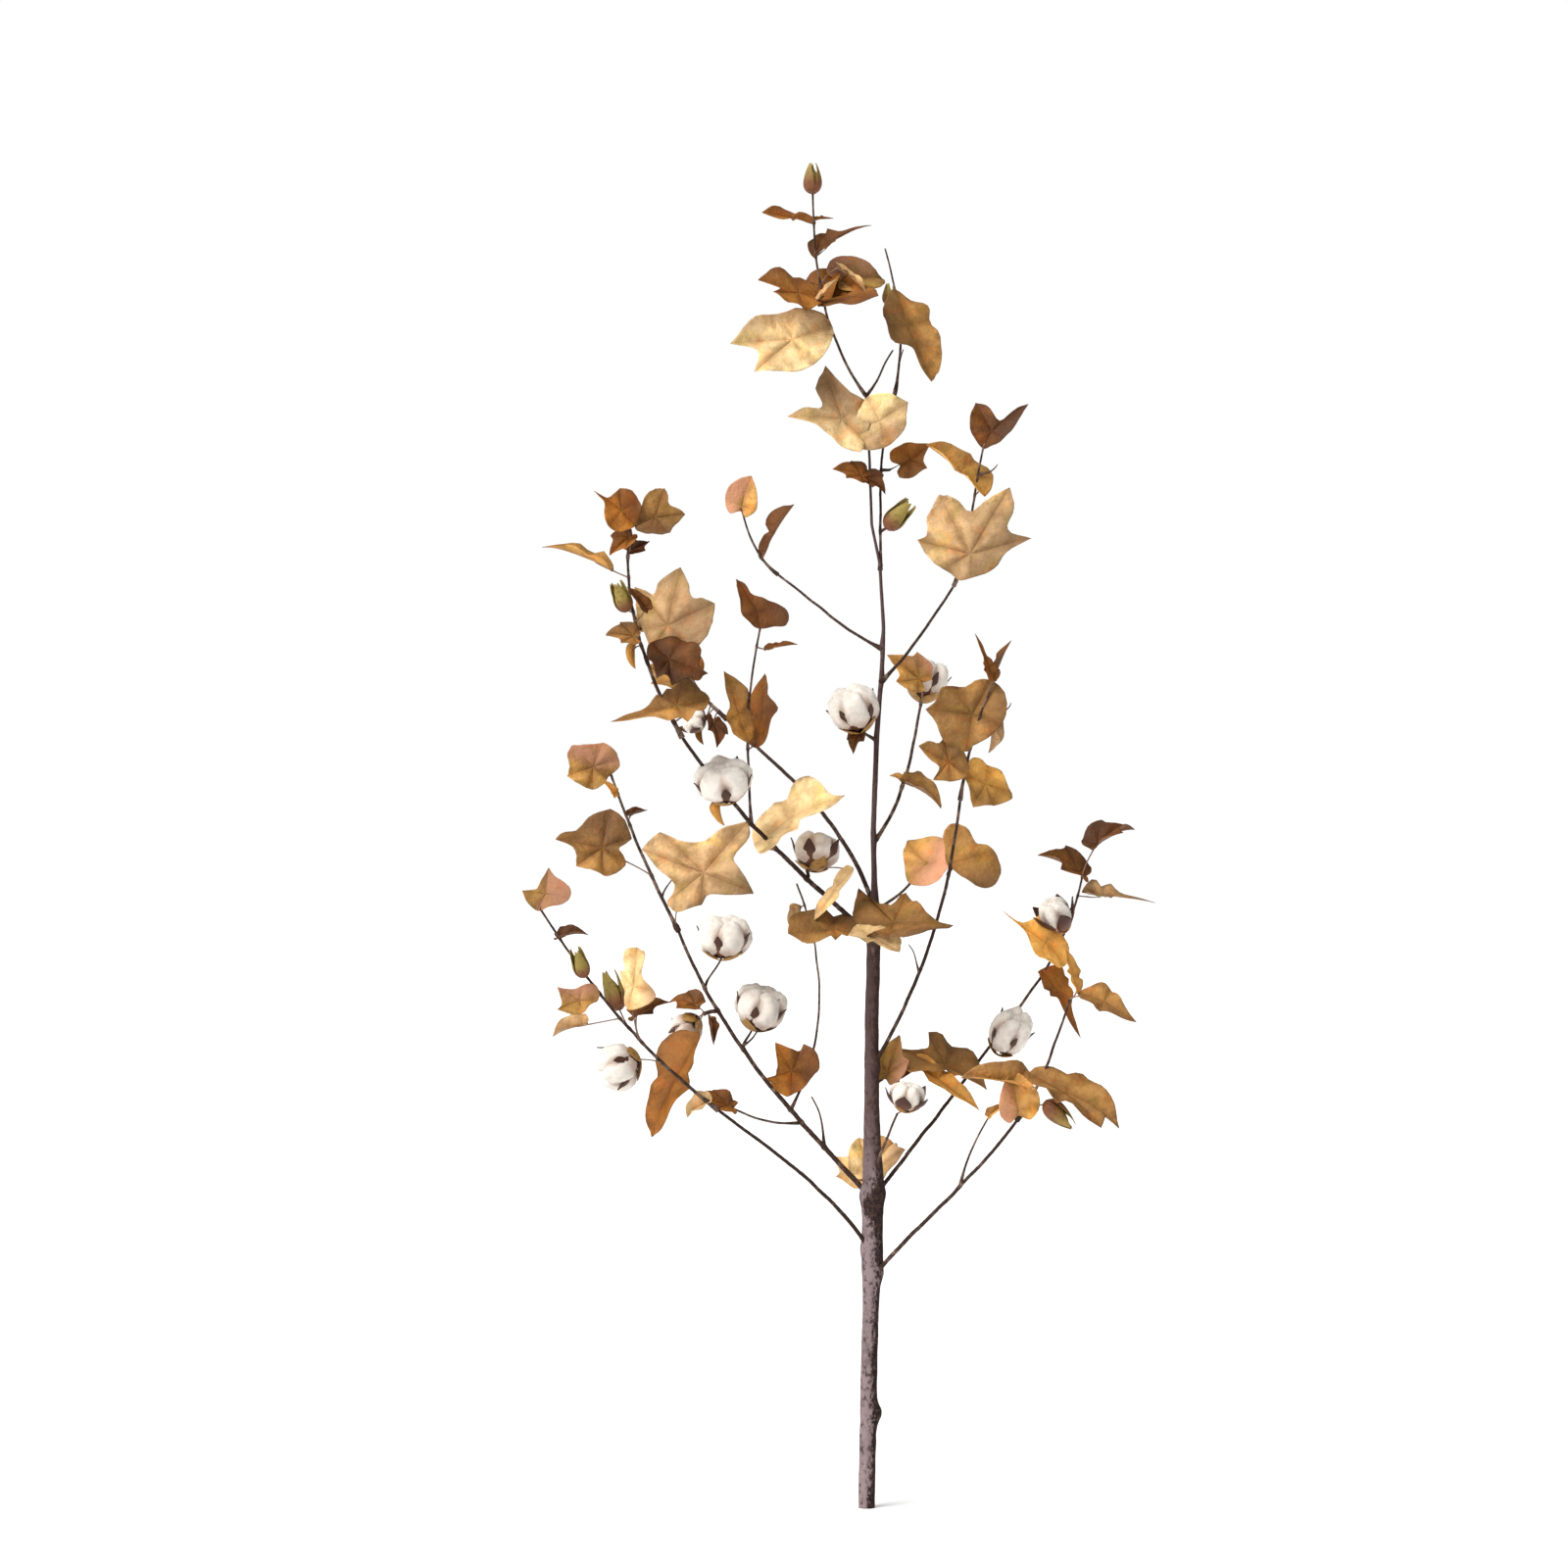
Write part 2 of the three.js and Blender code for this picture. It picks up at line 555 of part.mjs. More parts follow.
// A blade: a thin disc whose rim takes the lobed outline, folded along its midrib and curled.
function bladeSolid(row, { base, along, size }, random) {
  const half = OUTLINES[row.shape];
  const corners = 2 * (half.length - 1);
  const fold = radians(8 + 20 * random());
  const bend = radians(6 + 40 * random()) / size;
  const sway = 0.1 * (random() - 0.5);
  const thickness = Math.max(LEAST_BLADE_THICKNESS, BLADE_THICKNESS * size);
  const face = facing(along, row.tilt);
  const across = face.clone().cross(along);
  return solid(reshape(new THREE.CylinderGeometry(1, 1, thickness, corners, 1), (v) => {
    const inner = Math.hypot(v.x, v.z) < 0.5;
    const turn = Math.round((Math.atan2(v.x, v.z) / Math.PI) * (corners / 2));
    const side = Math.sign(turn % (corners / 2));
    const [angle, share] = inner ? [0, 0] : half[Math.abs(turn)];
    const reach = share * size * (1 - BLADE_CENTRE) * (1 + sway * side);
    const u = BLADE_CENTRE * size + reach * Math.cos(radians(angle));
    const flat = reach * Math.abs(Math.sin(radians(angle))) * side;
    const high = Math.abs(flat) * Math.sin(fold) + v.y;
    v.copy(base).addScaledVector(across, flat * Math.cos(fold))
      .addScaledVector(along, Math.sin(bend * u) / bend + high * Math.sin(bend * u))
      .addScaledVector(face, high * Math.cos(bend * u) - (1 - Math.cos(bend * u)) / bend);
  }));
}

// Turns +Y to the head's direction and moves to its base.
function placed(geometry, { base, along }) {
  const turn = new THREE.Quaternion().setFromUnitVectors(new THREE.Vector3(0, 1, 0), along);
  return solid(geometry.applyQuaternion(turn).translate(base.x, base.y, base.z));
}

// Calls move for each point of a ball with the row it lies in, from the top, and its turn round.
function ball(radius, sides, rows, move) {
  return reshape(new THREE.SphereGeometry(radius, sides, rows), (v) => {
    const row = Math.round((Math.acos(THREE.MathUtils.clamp(v.y / radius, -1, 1)) / Math.PI) * rows);
    move(v, row, Math.round((Math.atan2(v.z, v.x) / Math.PI) * (sides / 2)));
  });
}

// An open boll: five bulging locks of cotton, and a pointed husk below each seam between them.
function bollSolid(row, head) {
  const radius = row.wide / 2;
  return placed(ball(radius, 10, 6, (v, level, turn) => {
    const seam = turn % 2 !== 0;
    if (level === 4 && seam) {
      v.x *= BOLL.husk;
      v.z *= BOLL.husk;
      v.y = radius * BOLL.huskHeight;
    } else {
      const side = seam ? BOLL.seam : BOLL.lock;
      v.multiplyScalar(level === 0 ? BOLL.top : level > 3 ? BOLL.foot : side);
    }
    v.y = (v.y / radius + BOLL.centre) * (head.size / BOLL_TALL);
  }), head);
}

// A closed bud: an egg with three upright pointed bracts round it.
function budSolid(row, head) {
  const radius = row.wide / 2;
  return placed(ball(radius, 6, 4, (v, level, turn) => {
    const point = level === 1 && turn % 2 !== 0;
    const high = point ? BUD.point : (v.y / radius) * BUD.egg;
    v.y = (high + BUD.centre) * (head.size / BUD_TALL);
  }), head);
}

// Where a leaf, boll or bud starts, with its direction and length.
function headOf(row, start) {
  const depth = start.y + row.base[2];
  const base = seen(row.base, depth);
  const along = seen(row.tip, depth + row.tip[2]).sub(base);
  const size = along.length();
  along.normalize();
  const stalk = base.distanceTo(start);
  if (stalk < LEAST_STALK) base.copy(start);
  return { base: base.addScaledVector(along, -SINK), along, size: size + SINK, stalk };
}

function stalkSolid({ base, along, stalk }, start) {
  const middle = start.clone().lerp(base, STALK_BEND.middle)
    .addScaledVector(along, -stalk * STALK_BEND.behind);
  const inside = base.clone().addScaledVector(along, SINK);
  const curve = new THREE.QuadraticBezierCurve3(start, middle, inside);
  return solid(rod({ curve, wide: [STALK_RADIUS, STALK_RADIUS] }, STALK_SIDES, stalk > 14 ? 2 : 1));
}

function spraySolid(name, spray, seed) {
  const random = seeded(seed);
  const track = tracks.get(name);
  let made = solid(rod(track, STEM_SIDES, stepsOf(track, STEM_STEP)));
  for (const row of spray.parts) {
    const start = track.curve.getPointAt(row.at);
    const head = headOf(row, start);
    if (head.stalk >= LEAST_STALK) made = made.add(stalkSolid(head, start));
    made = made.add(row.make(row, head, random));
  }
  return made;
}

function mesh(name, shape, tint, roughness) {
  const { vertProperties, triVerts, numProp, numVert } = shape.getMesh();
  const points = new Float32Array(numVert * 3);
  for (let i = 0; i < numVert; i++) {
    points.set(vertProperties.subarray(i * numProp, i * numProp + 3), i * 3);
  }
  const geometry = new THREE.BufferGeometry();
  geometry.setAttribute("position", new THREE.BufferAttribute(points, 3));
  geometry.setIndex(new THREE.BufferAttribute(new Uint32Array(triVerts), 1));
  geometry.computeVertexNormals();
  const made = new THREE.Mesh(
    geometry,
    new THREE.MeshStandardMaterial({ color: TINTS[tint], roughness, metalness: 0 }),
  );
  made.name = name;
  return made;
}

const plant = new THREE.Group();
plant.add(mesh("trunk", trunkSolid(), "bark", 0.85));

for (const [name, bough] of Object.entries(BOUGHS)) {
  const track = limbTrack(bough);
  tracks.set(name, track);
  const whole = solid(rod(track, BOUGH_SIDES, stepsOf(track, BOUGH_STEP)));
  plant.add(mesh(name, whole.subtract(swollen(bough.on)), "twig", 0.8));
}

Object.entries(SPRAYS).forEach(([name, spray], number) => {
  tracks.set(name, limbTrack(spray));
  const whole = spraySolid(name, spray, 11 + number);
  plant.add(mesh(name, whole.subtract(swollen(spray.on)), spray.tint, 0.9));
});

export default plant;
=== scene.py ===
"""The looks of a dried cotton branch, 1.83 m tall, laid out as a Blender add-on.

The plan of the plant is in millimetres. Its rows are those of the part's source, with some leaves
moved, turned or added so that they lie as in the picture, and with a tint and a paleness for each.
Every limb, leaf, boll and bud grows from its row by the source's rule, in finer shapes.
"""

import math

import bpy
import numpy as np
from bpy.props import FloatProperty, FloatVectorProperty, IntProperty, PointerProperty
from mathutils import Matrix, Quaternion, Vector, noise


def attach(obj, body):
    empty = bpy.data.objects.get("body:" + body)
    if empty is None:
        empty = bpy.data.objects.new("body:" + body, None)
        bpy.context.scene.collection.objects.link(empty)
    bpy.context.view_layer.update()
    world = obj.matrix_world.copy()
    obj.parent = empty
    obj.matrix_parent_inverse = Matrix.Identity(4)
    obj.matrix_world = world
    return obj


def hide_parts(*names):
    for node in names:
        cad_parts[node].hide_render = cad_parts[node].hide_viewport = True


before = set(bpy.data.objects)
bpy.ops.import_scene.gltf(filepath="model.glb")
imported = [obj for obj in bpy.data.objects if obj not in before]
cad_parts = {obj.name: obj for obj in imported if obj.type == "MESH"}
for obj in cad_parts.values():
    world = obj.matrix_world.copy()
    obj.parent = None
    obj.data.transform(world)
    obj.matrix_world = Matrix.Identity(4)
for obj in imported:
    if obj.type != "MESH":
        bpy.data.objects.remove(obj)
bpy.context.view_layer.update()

bl_info = {
    "name": "Cotton Branch",
    "version": (1, 0, 0),
    "blender": (4, 5, 0),
    "location": "View3D > Sidebar > Cotton",
    "description": "A dried cotton branch with lobed leaves, open bolls and buds",
    "category": "Add Mesh",
}

MM = 0.001

# Lengths are in millimetres from here on, unless a comment says otherwise.

# The view and the light.
SIGHT = Vector((-112, -6000, 982))  # the eye
FRAME_WIDE = 2128  # what the camera sees at the stem, side to side
SENSOR = 36
WHITE = (1, 1, 1, 1)
AROUND = 0.33  # strength of the light from all round
WINDOW = 3.6  # strength of the light from one side
WINDOW_SPREAD = 40  # how wide that light stands in the sky, in degrees
LIGHT_FROM = (-0.66, -0.56, 0.8)
FLOOR_RADIUS = 30  # in metres
FLOOR_SIDES = 64
FLOOR_GLOW = 0.25  # keeps the shadow on the floor faint

# Growth, as in the part's source.
FIRST_SEED = 11  # the first spray's seed, and the next ones count up from it
CURVE_HANDLE = 0.36  # length of a curve's handles, by its chord
SINK = 2.4  # how deep a leaf, boll or bud sits in its stalk
LEAST_STALK = 7  # a leaf, boll or bud with a shorter stalk starts on its limb instead
BLADE_CENTRE = 0.12  # where a plain blade's veins meet, by its length
BEND = (6, 40)  # least curl over a blade's length in degrees, and its spread
SWAY = 0.1  # how unequal the two halves of a plain blade may be

# How finely the shapes are made.
CURVE_POINTS = 200
LINE_STEP = 2.5  # length of one step along a limb or stalk
RING_STEP = 3  # length of one ring of the stem's bark
STEM_SIDES = 48
SOFT_RINGS = 3  # rings on either side over which the stem's radius is evened out
RIM_STEPS = 4  # points of a leaf's rim for each piece of its outline
# Where a leaf's rings of points lie, from the meeting place of its veins to its rim.
RINGS = (0.1, 0.22, 0.36, 0.5, 0.64, 0.77, 0.88, 0.95, 1)
LOCK_GRID = (28, 18)  # columns and rows
BUD_GRID = (20, 14)
HUSK_ROWS, HUSK_COLUMNS = 12, 7
BRACT_ROWS, BRACT_COLUMNS = 12, 13

# Limbs.
SLIM = 0.8  # the boughs and the upper stem are a little slimmer than the source's solids
SLIM_FROM = (825, 850)  # over these heights the stem grows slimmer
SWELLING_TOP = 1500  # limbs that leave the stem above this are too slim to swell it
STEM_COLLAR = {"above": 5, "stands": 0.8, "tall": 11}  # where a bough leaves, and by its radius
LIMB_COLLAR = {"stands": 0.42, "tall": 3.4}  # where something grows from a limb, by its end radius
FLARE_TALL = 16  # length of a limb's flared foot
BOUGH_FLARE = 0.9  # how far it stands out, by the limb's radius there
TWIG_FLARE = 0.6
TIP_SHARE = 0.7  # how much of its radius a limb keeps at its very end
CROOKED = 1.6  # how far a limb wanders off its curve
NOISE_SEED = 1  # keeps the wandering the same in every run
STALK_ENDS = (0.5, 0.35)  # how far a stalk thickens at its foot and at its head, by its radius
STALK_BEND = (0.55, 0.14)  # where the stalk's curve handle lies along it, and how far behind the leaf
UNDER_STEPS = 5  # points of a stalk that runs on under its leaf
TWIG_SEED = 20  # the first seed by which a twig wanders, and the next ones count up from it
TWIGLET_SEED = 60  # the same for the bare ends

# Skins of limbs: sides, how far the relief stands out by the radius, and how fine its grain is.
BOUGH_SKIN = (14, 0.55, 260)
STALK_SKIN = (6, 0.3, 500)
FIBRE_SKIN = (3, 0, 1)
TWIG_RELIEF = (0.5, 420)  # a twig has as many sides as its property says

# Leaves.
WIDEST_GAP = 1.7  # radians between two main veins, past which one more runs midway
OWN_FOLD = 0.5  # how much of its fold and bend a blade keeps whose outline is drawn as seen
LEAST_COSINE = 0.6  # a tilted blade with its own outline is widened to look as drawn, down to this
RIM_WANDER = 0.012  # how far the points of a rim wander, by their reach
LIFT = (-0.16, 0.2)  # how far a blade's outer part lifts, by its length
TWIST = 0.12  # how far a blade twists at most
SHADE = (0.15, 0.6)  # least and greatest painted shade of a blade at its midrib
ACROSS = {"flush": 2.2, "shade": 1.5}  # how fast the flush and the painted shade rise across a blade, by its length
TINTS = ("straw", "gold", "tan", "khaki", "brown", "umber", "rosy")

# Bolls and buds.
LOCKS = 5
CUP_LEAVES = 3
BRACTS = 3
HUSK_WALL = 1.1
BRACT_WALL = 0.6
POLE_GAP = 0.12  # radians between the first row of a ball and its pole
LOCK = {"out": 0.24, "high": 0.5, "wide": 0.29, "tall": 0.38}  # its middle and half sizes, by the boll's
MIDDLE = {"wide": 0.22, "tall": 0.26, "high": 0.6}  # the ball of cotton between the locks
FLUFF = ((1, 0.16), (3.1, 0.07), (7, 0.03))  # how fine the lumps of a lock are, and how high
CORE = {"wide": 0.46, "tall": 0.86}  # a bud's core, by the bud's sizes
FIBRE_POINTS = 6
FIBRE_RADII = (0.11, 0.05)  # at its root and its tip
FIBRE_SCALES = (0.5, 1.2)  # its least and greatest scale
FIBRE_SEEDS = {"place": 7, "scale": 5}
MOST_FIBRES = 120000  # for each square metre

# Colours that multiply a leaf's own: in patches, and as painted shade in the hollows beside its main veins;
# and how strong its flush is.
BLOTCHED = (0.64, 0.6, 0.54, 1)
BLEACHED = (1.5, 1.42, 1.25, 1)
# painted shade in the hollows beside a leaf's main veins
VEIN_HOLLOW_SHADE = (0.7, 0.64, 0.56, 1)
OLIVE = (0.88, 0.95, 0.68, 1)
RUSSET = (1.04, 0.8, 0.66, 1)
ROSY_FLUSH = 0.75
FAINT_FLUSH = 0.08

# The stem: height, sideways lean and radius.
TRUNK_PROFILE = (
    (0, 0, 11.2), (160, 3, 11.3), (285, 6, 11.2), (335, 8, 14.8), (390, 8, 14.2), (428, 9, 15.8),
    (480, 8, 12.4), (545, 7, 10.2), (660, 7, 9.3), (770, 10, 9.3), (835, 11, 5), (915, 9, 4.5),
    (1048, 14, 4.4), (1155, 22, 3.7), (1195, 23, 3.1), (1281, 18, 2.7), (1334, 7, 2.4),
    (1424, 4, 2.2), (1509, -1, 2),
)
KNOT = {"height": 128, "stands": 7, "tall": 14}
NODE = {"height": 412, "tall": 22}  # the dark band where the boughs spring
SHADE_SIDE_TURN = -0.25  # the turn, in radians, of the stem's side with painted shade, away from the lamp

# Half a plain blade's outline round its centre: the angle from the midrib in degrees, and the reach,
# as a share of the way from the centre to the tip.
HALVES = {
    "five": ((0, 1), (12, 0.76), (26, 0.58), (44, 0.8), (66, 0.52), (92, 0.54), (134, 0.34), (180, 0.17)),
    "three": ((0, 1), (16, 0.72), (32, 0.6), (46, 0.68), (86, 0.46), (138, 0.32), (180, 0.17)),
    "round": ((0, 1), (20, 0.82), (50, 0.66), (92, 0.54), (138, 0.4), (180, 0.17)),
    "narrow": ((0, 1), (14, 0.72), (34, 0.5), (82, 0.36), (138, 0.26), (180, 0.16)),
}
TIPS = {"five": (0, 44, 92), "three": (0, 46), "round": (0,), "narrow": (0,)}
FOLDS = {"five": (8, 20), "three": (10, 22), "round": (8, 22), "narrow": (34, 22)}  # least, and spread

# Blades with a shape of their own, in hundredths of their length, as they look from the front: the
# place where the veins meet, then the rim from the stalk up the left side, over the tip and down the
# right. Each place is its distance to the left and along, and a 1 marks a point with a main vein.
OWN_OUTLINES = {
    "palm": ((0, 25), (
        (15, -1), (34, 2), (51, 10, 1), (44, 20), (53, 36), (55, 59, 1), (38, 65), (20, 61), (15, 73),
        (8, 88), (0, 100, 1), (-15, 86), (-20, 65), (-43, 69, 1), (-30, 46), (-28, 26), (-16, 9),
        (-3, -2))),
    "star": ((0, 40), (
        (9, -3), (10, 8), (15, 17), (34, 17), (55, 18, 1), (52, 41, 1), (28, 51), (17, 62), (12, 80),
        (0, 100, 1), (-10, 91), (-12, 68), (-28, 65), (-45, 56, 1), (-32, 43), (-15, 27), (-16, 17, 1),
        (-4, -1))),
    "gloved": ((-8, 36), (
        (3, 0), (18, 8), (29, 22), (28, 40), (24, 65, 1), (10, 69), (1, 78), (-4, 100, 1), (-13, 94),
        (-20, 76), (-40, 64), (-58, 38, 1), (-48, 16), (-30, 0, 1), (-19, 8), (-10, 15), (-4, 7))),
    "crowned": ((-6, 30), (
        (3, -4), (18, 12), (33, 34), (46, 62, 1), (32, 62), (20, 61), (17, 78), (0, 102, 1), (-16, 86),
        (-26, 72), (-40, 75), (-55, 73, 1), (-59, 52), (-56, 30), (-42, 9), (-10, -4))),
    "wing": ((0, 30), (
        (4, -3), (14, 10), (20, 30), (15, 55), (8, 78), (0, 100, 1), (-5, 80), (-6, 60), (-12, 40),
        (-22, 8, 1), (-9, 1))),
    "crumpled": ((0, 35), (
        (3, -5), (24, 12), (38, 42), (37, 62), (22, 76), (22, 94, 1), (4, 92), (-6, 80), (-30, 72, 1),
        (-24, 60), (-37, 48, 1), (-26, 28), (-18, 6))),
    "spiked": ((0, 38), (
        (4, -2), (26, 8), (42, 24), (43, 46), (28, 64), (9, 78), (6, 92), (3, 106, 1), (1, 90), (-3, 76),
        (-18, 71), (-32, 68, 1), (-42, 46), (-34, 18), (-14, 3))),
    "paired": ((0, 40), (
        (-8, 2), (16, 8), (38, 24), (54, 46), (54, 63, 1), (38, 69), (23, 69), (12, 86), (0, 100, 1),
        (-24, 80), (-40, 68, 1), (-43, 48), (-36, 26), (-24, 2))),
    "booted": ((-5, 30), (
        (3, 1), (17, 18), (23, 42), (18, 64), (11, 86), (2, 103, 1), (-7, 88), (-9, 66), (-26, 46),
        (-44, 30), (-53, 6), (-42, -11), (-22, -5))),
    "left_spear": ((6, 45), (
        (4, -1), (20, 16), (29, 36), (21, 60), (10, 86), (0, 110, 1), (-8, 92), (-14, 66), (-11, 40),
        (-8, 10))),
    "right_spear": ((-8, 40), (
        (2, 0), (6, 40), (9, 74), (5, 103, 1), (-4, 87), (-20, 59), (-31, 36), (-26, 14), (-12, -1))),
    "boat": ((6, 40), (
        (6, -3), (23, 17), (21, 42), (23, 62), (17, 82), (4, 88), (-2, 100, 1), (-9, 78), (-7, 52),
        (-8, 20), (-5, 0))),
    "shield": ((-5, 40), (
        (5, -2), (26, 9), (48, 38, 1), (30, 43), (17, 49), (9, 74), (4, 104, 1), (-14, 86), (-40, 72),
        (-60, 58), (-63, 42), (-50, 22), (-22, 9))),
    "forked": ((0, 38), (
        (4, -8), (14, 14), (34, 32), (38, 62), (20, 99, 1), (8, 86), (-6, 86), (-36, 93, 1), (-30, 74),
        (-28, 52), (-38, 20), (-36, -2), (-14, -14))),
    "tongued": ((0, 30), (
        (6, -11), (14, 20), (27, 55, 1), (17, 56), (20, 76), (16, 94), (0, 99, 1), (-15, 92), (-14, 74),
        (-12, 54), (-30, 38), (-41, 18), (-20, -1))),
    "strap": ((3, 42), (
        (9, -4), (13, 18), (21, 42), (20, 70), (13, 92), (0, 103, 1), (-8, 86), (-9, 62), (-13, 42),
        (-19, 14), (-8, -2))),
    "eared": ((-8, 40), (
        (4, -5), (28, 11), (42, 48, 1), (24, 45), (15, 66), (0, 103, 1), (-16, 84), (-36, 70), (-47, 79, 1),
        (-60, 58), (-58, 30), (-42, 15), (-24, 6))),
    "plump": ((-5, 45), (
        (8, 8), (26, 14), (44, 30), (47, 56), (30, 94, 1), (10, 94), (-18, 106), (-38, 102, 1), (-43, 78),
        (-60, 38, 1), (-46, 5), (-20, -8))),
    "cornered": ((-10, 45), (
        (0, 0), (16, 22), (28, 50), (38, 80, 1), (16, 90), (-8, 97), (-36, 90), (-50, 62), (-51, 32),
        (-34, 4))),
    "winged": ((10, 35), (
        (6, -4), (30, -3), (60, 0), (72, 15), (62, 38), (34, 52), (26, 70), (4, 89), (-26, 82), (-46, 62),
        (-42, 38), (-22, 19), (-4, 4))),
    "paddle": ((0, 45), (
        (5, 4), (5, 24), (12, 52), (17, 80), (5, 100, 1), (-10, 94), (-18, 70), (-13, 34), (-13, 6))),
    "ragged": ((5, 38), (
        (4, -3), (26, -6), (46, -6, 1), (32, 10), (21, 28), (31, 48, 1), (18, 62), (5, 84), (2, 101, 1),
        (-14, 92), (-23, 78), (-18, 54), (-12, 30), (-6, 4))),
    "tulip": ((2, 34), (
        (4, -10), (24, 4), (42, 34), (50, 52, 1), (20, 49), (15, 72), (2, 100, 1), (-12, 88), (-18, 68),
        (-36, 60, 1), (-33, 26), (-16, 0))),
    "hood": ((-4, 45), (
        (6, 1), (28, 10), (30, 36), (24, 68), (0, 102, 1), (-18, 92), (-40, 56), (-51, 24, 1), (-28, 13),
        (-8, 1))),
    "heart": ((8, 48), (
        (4, -4), (30, 2), (50, 25), (70, 40, 1), (58, 56), (54, 74), (26, 82), (12, 95), (-6, 100, 1),
        (-28, 88), (-38, 60), (-26, 30), (-4, 8))),
    "banner": ((0, 40), (
        (6, -8), (17, 10), (10, 36), (16, 64), (26, 88), (10, 97), (0, 100, 1), (-3, 72), (-12, 58),
        (-26, 57, 1), (-22, 30), (-14, 6))),
    "sail": ((-1, 40), (
        (3, -2), (12, 24), (17, 50), (10, 78), (-1, 102, 1), (-4, 85), (-12, 88, 1), (-18, 62), (-17, 34),
        (-6, 2))),
    "drop": ((2, 28), (
        (8, -13), (25, 4), (28, 22), (22, 48), (8, 68), (2, 104, 1), (-2, 70), (-20, 54), (-28, 38),
        (-14, 8), (-1, -10))),
    "twin": ((12, 40), (
        (4, -3), (28, 8), (46, 36), (45, 62), (36, 88, 1), (16, 78), (0, 100, 1), (-15, 70), (-16, 38),
        (-9, 2))),
    "horned": ((12, 35), (
        (5, -5), (32, 4), (45, 34), (38, 60), (26, 77, 1), (17, 66), (12, 88), (2, 100, 1), (-13, 76),
        (-12, 44), (-8, 4))),
    "bow": ((-4, 38), (
        (6, -5), (26, 6), (27, 32), (10, 60), (-8, 82), (-24, 90, 1), (-34, 66), (-26, 36), (-20, 4))),
    "pendant": ((-5, 40), (
        (3, 0), (10, 16), (19, 32), (16, 62), (10, 92), (0, 103, 1), (-9, 84), (-12, 68), (-27, 56),
        (-28, 32), (-16, 8))),
    "mitten": ((-5, 30), (
        (10, -4), (34, 2), (30, 24), (16, 50), (10, 72), (5, 98, 1), (-8, 80), (-12, 58), (-30, 70),
        (-65, 64, 1), (-42, 36), (-30, 2))),
    "disc": ((0, 40), (
        (8, -10), (34, 16), (50, 40), (38, 76), (8, 103, 1), (-14, 90), (-32, 80), (-48, 50), (-46, 8),
        (-22, -18))),
    "cloven": ((-2, 50), (
        (-1, 24), (12, 12), (30, 22), (34, 46), (22, 74), (6, 101, 1), (-7, 84), (-18, 72), (-36, 72, 1),
        (-39, 44), (-30, 14), (-14, 13))),
    "notched": ((-4, 38), (
        (-1, 0), (22, 12), (39, 36), (46, 86, 1), (22, 83), (-10, 64), (-32, 104), (-47, 121, 1), (-46, 72),
        (-36, 38), (-16, 6))),
    "sliver": ((0, 40), (
        (4, -1), (10, 20), (9, 60), (0, 100, 1), (-7, 66), (-10, 24), (-3, 0))),
    "spoon": ((0, 45), (
        (3, 0), (8, 18), (7, 38), (14, 66), (10, 88), (-1, 104, 1), (-10, 80), (-7, 40), (-7, 14),
        (-3, 0))),
    "claw": ((4, 30), (
        (6, -2), (19, 10), (17, 36), (8, 60), (4, 82), (0, 104, 1), (-3, 78), (-2, 52), (-9, 30), (-8, 4))),
    "ribbon": ((0, 40), (
        (6, -8), (18, 8), (19, 40), (14, 76), (0, 103, 1), (-12, 84), (-16, 46), (-16, 8), (-5, -7))),
}


def leaf(at, base, tip, tilt, tint, shape="three", own=None, fade=0):
    """A leaf's row: its folds follow its shape, its rim may be its own, and fade makes it paler."""
    return {"make": "leaf", "at": at, "base": base, "tip": tip, "tilt": tilt, "tint": tint, "shape": shape,
            "own": own, "fade": fade}


def boll(at, base, tip, wide, cover=1.0):
    """An open boll's row; cover widens its husks over the cotton."""
    return {"make": "boll", "at": at, "base": base, "tip": tip, "wide": wide, "cover": cover}


def bud(at, base, tip, wide, open=1.0):
    """A bud's row; a less open one is browner."""
    return {"make": "bud", "at": at, "base": base, "tip": tip, "wide": wide, "open": open}


def limb(on, at, tip, leave, arrive, wide, *parts):
    """A row of the plan: what the limb grows on and where, its tip, directions and end radii."""
    return {"on": on, "at": at, "tip": tip, "leave": leave, "arrive": arrive, "wide": wide, "parts": parts}


BOUGHS = {
    "bough_low_left": limb("trunk", 345, (-201, 539, -100), 122, 142, (3.6, 2.6)),
    "bough_left_long": limb("trunk", 418, (-255, 782, 140), 134, 112, (4.6, 2.8)),
    "bough_low_right": limb("trunk", 312, (204, 525, -150), 52, 56, (3.8, 2.6)),
    "bough_right_long": limb("trunk", 420, (184, 649, 150), 50, 52, (3.6, 2.5)),
    "bough_mid_left": limb("trunk", 772, (-250, 1045, -170), 138, 124, (4.6, 2.8)),
    "bough_inner_left": limb("trunk", 812, (-190, 1070, 160), 106, 137, (4, 2.6)),
    "bough_mid_right": limb("trunk", 596, (127, 960, -100), 60, 84, (3.4, 2.4)),
    "bough_upper_left": limb("trunk", 1165, (-120, 1266, 100), 154, 142, (2.6, 2)),
    "bough_upper_right": limb("trunk", 1120, (118, 1250, -90), 45, 57, (2.8, 2.2)),
    "bough_top_right": limb("trunk", 1272, (38, 1511, 26), 88, 72, (2.4, 1.9)),
}

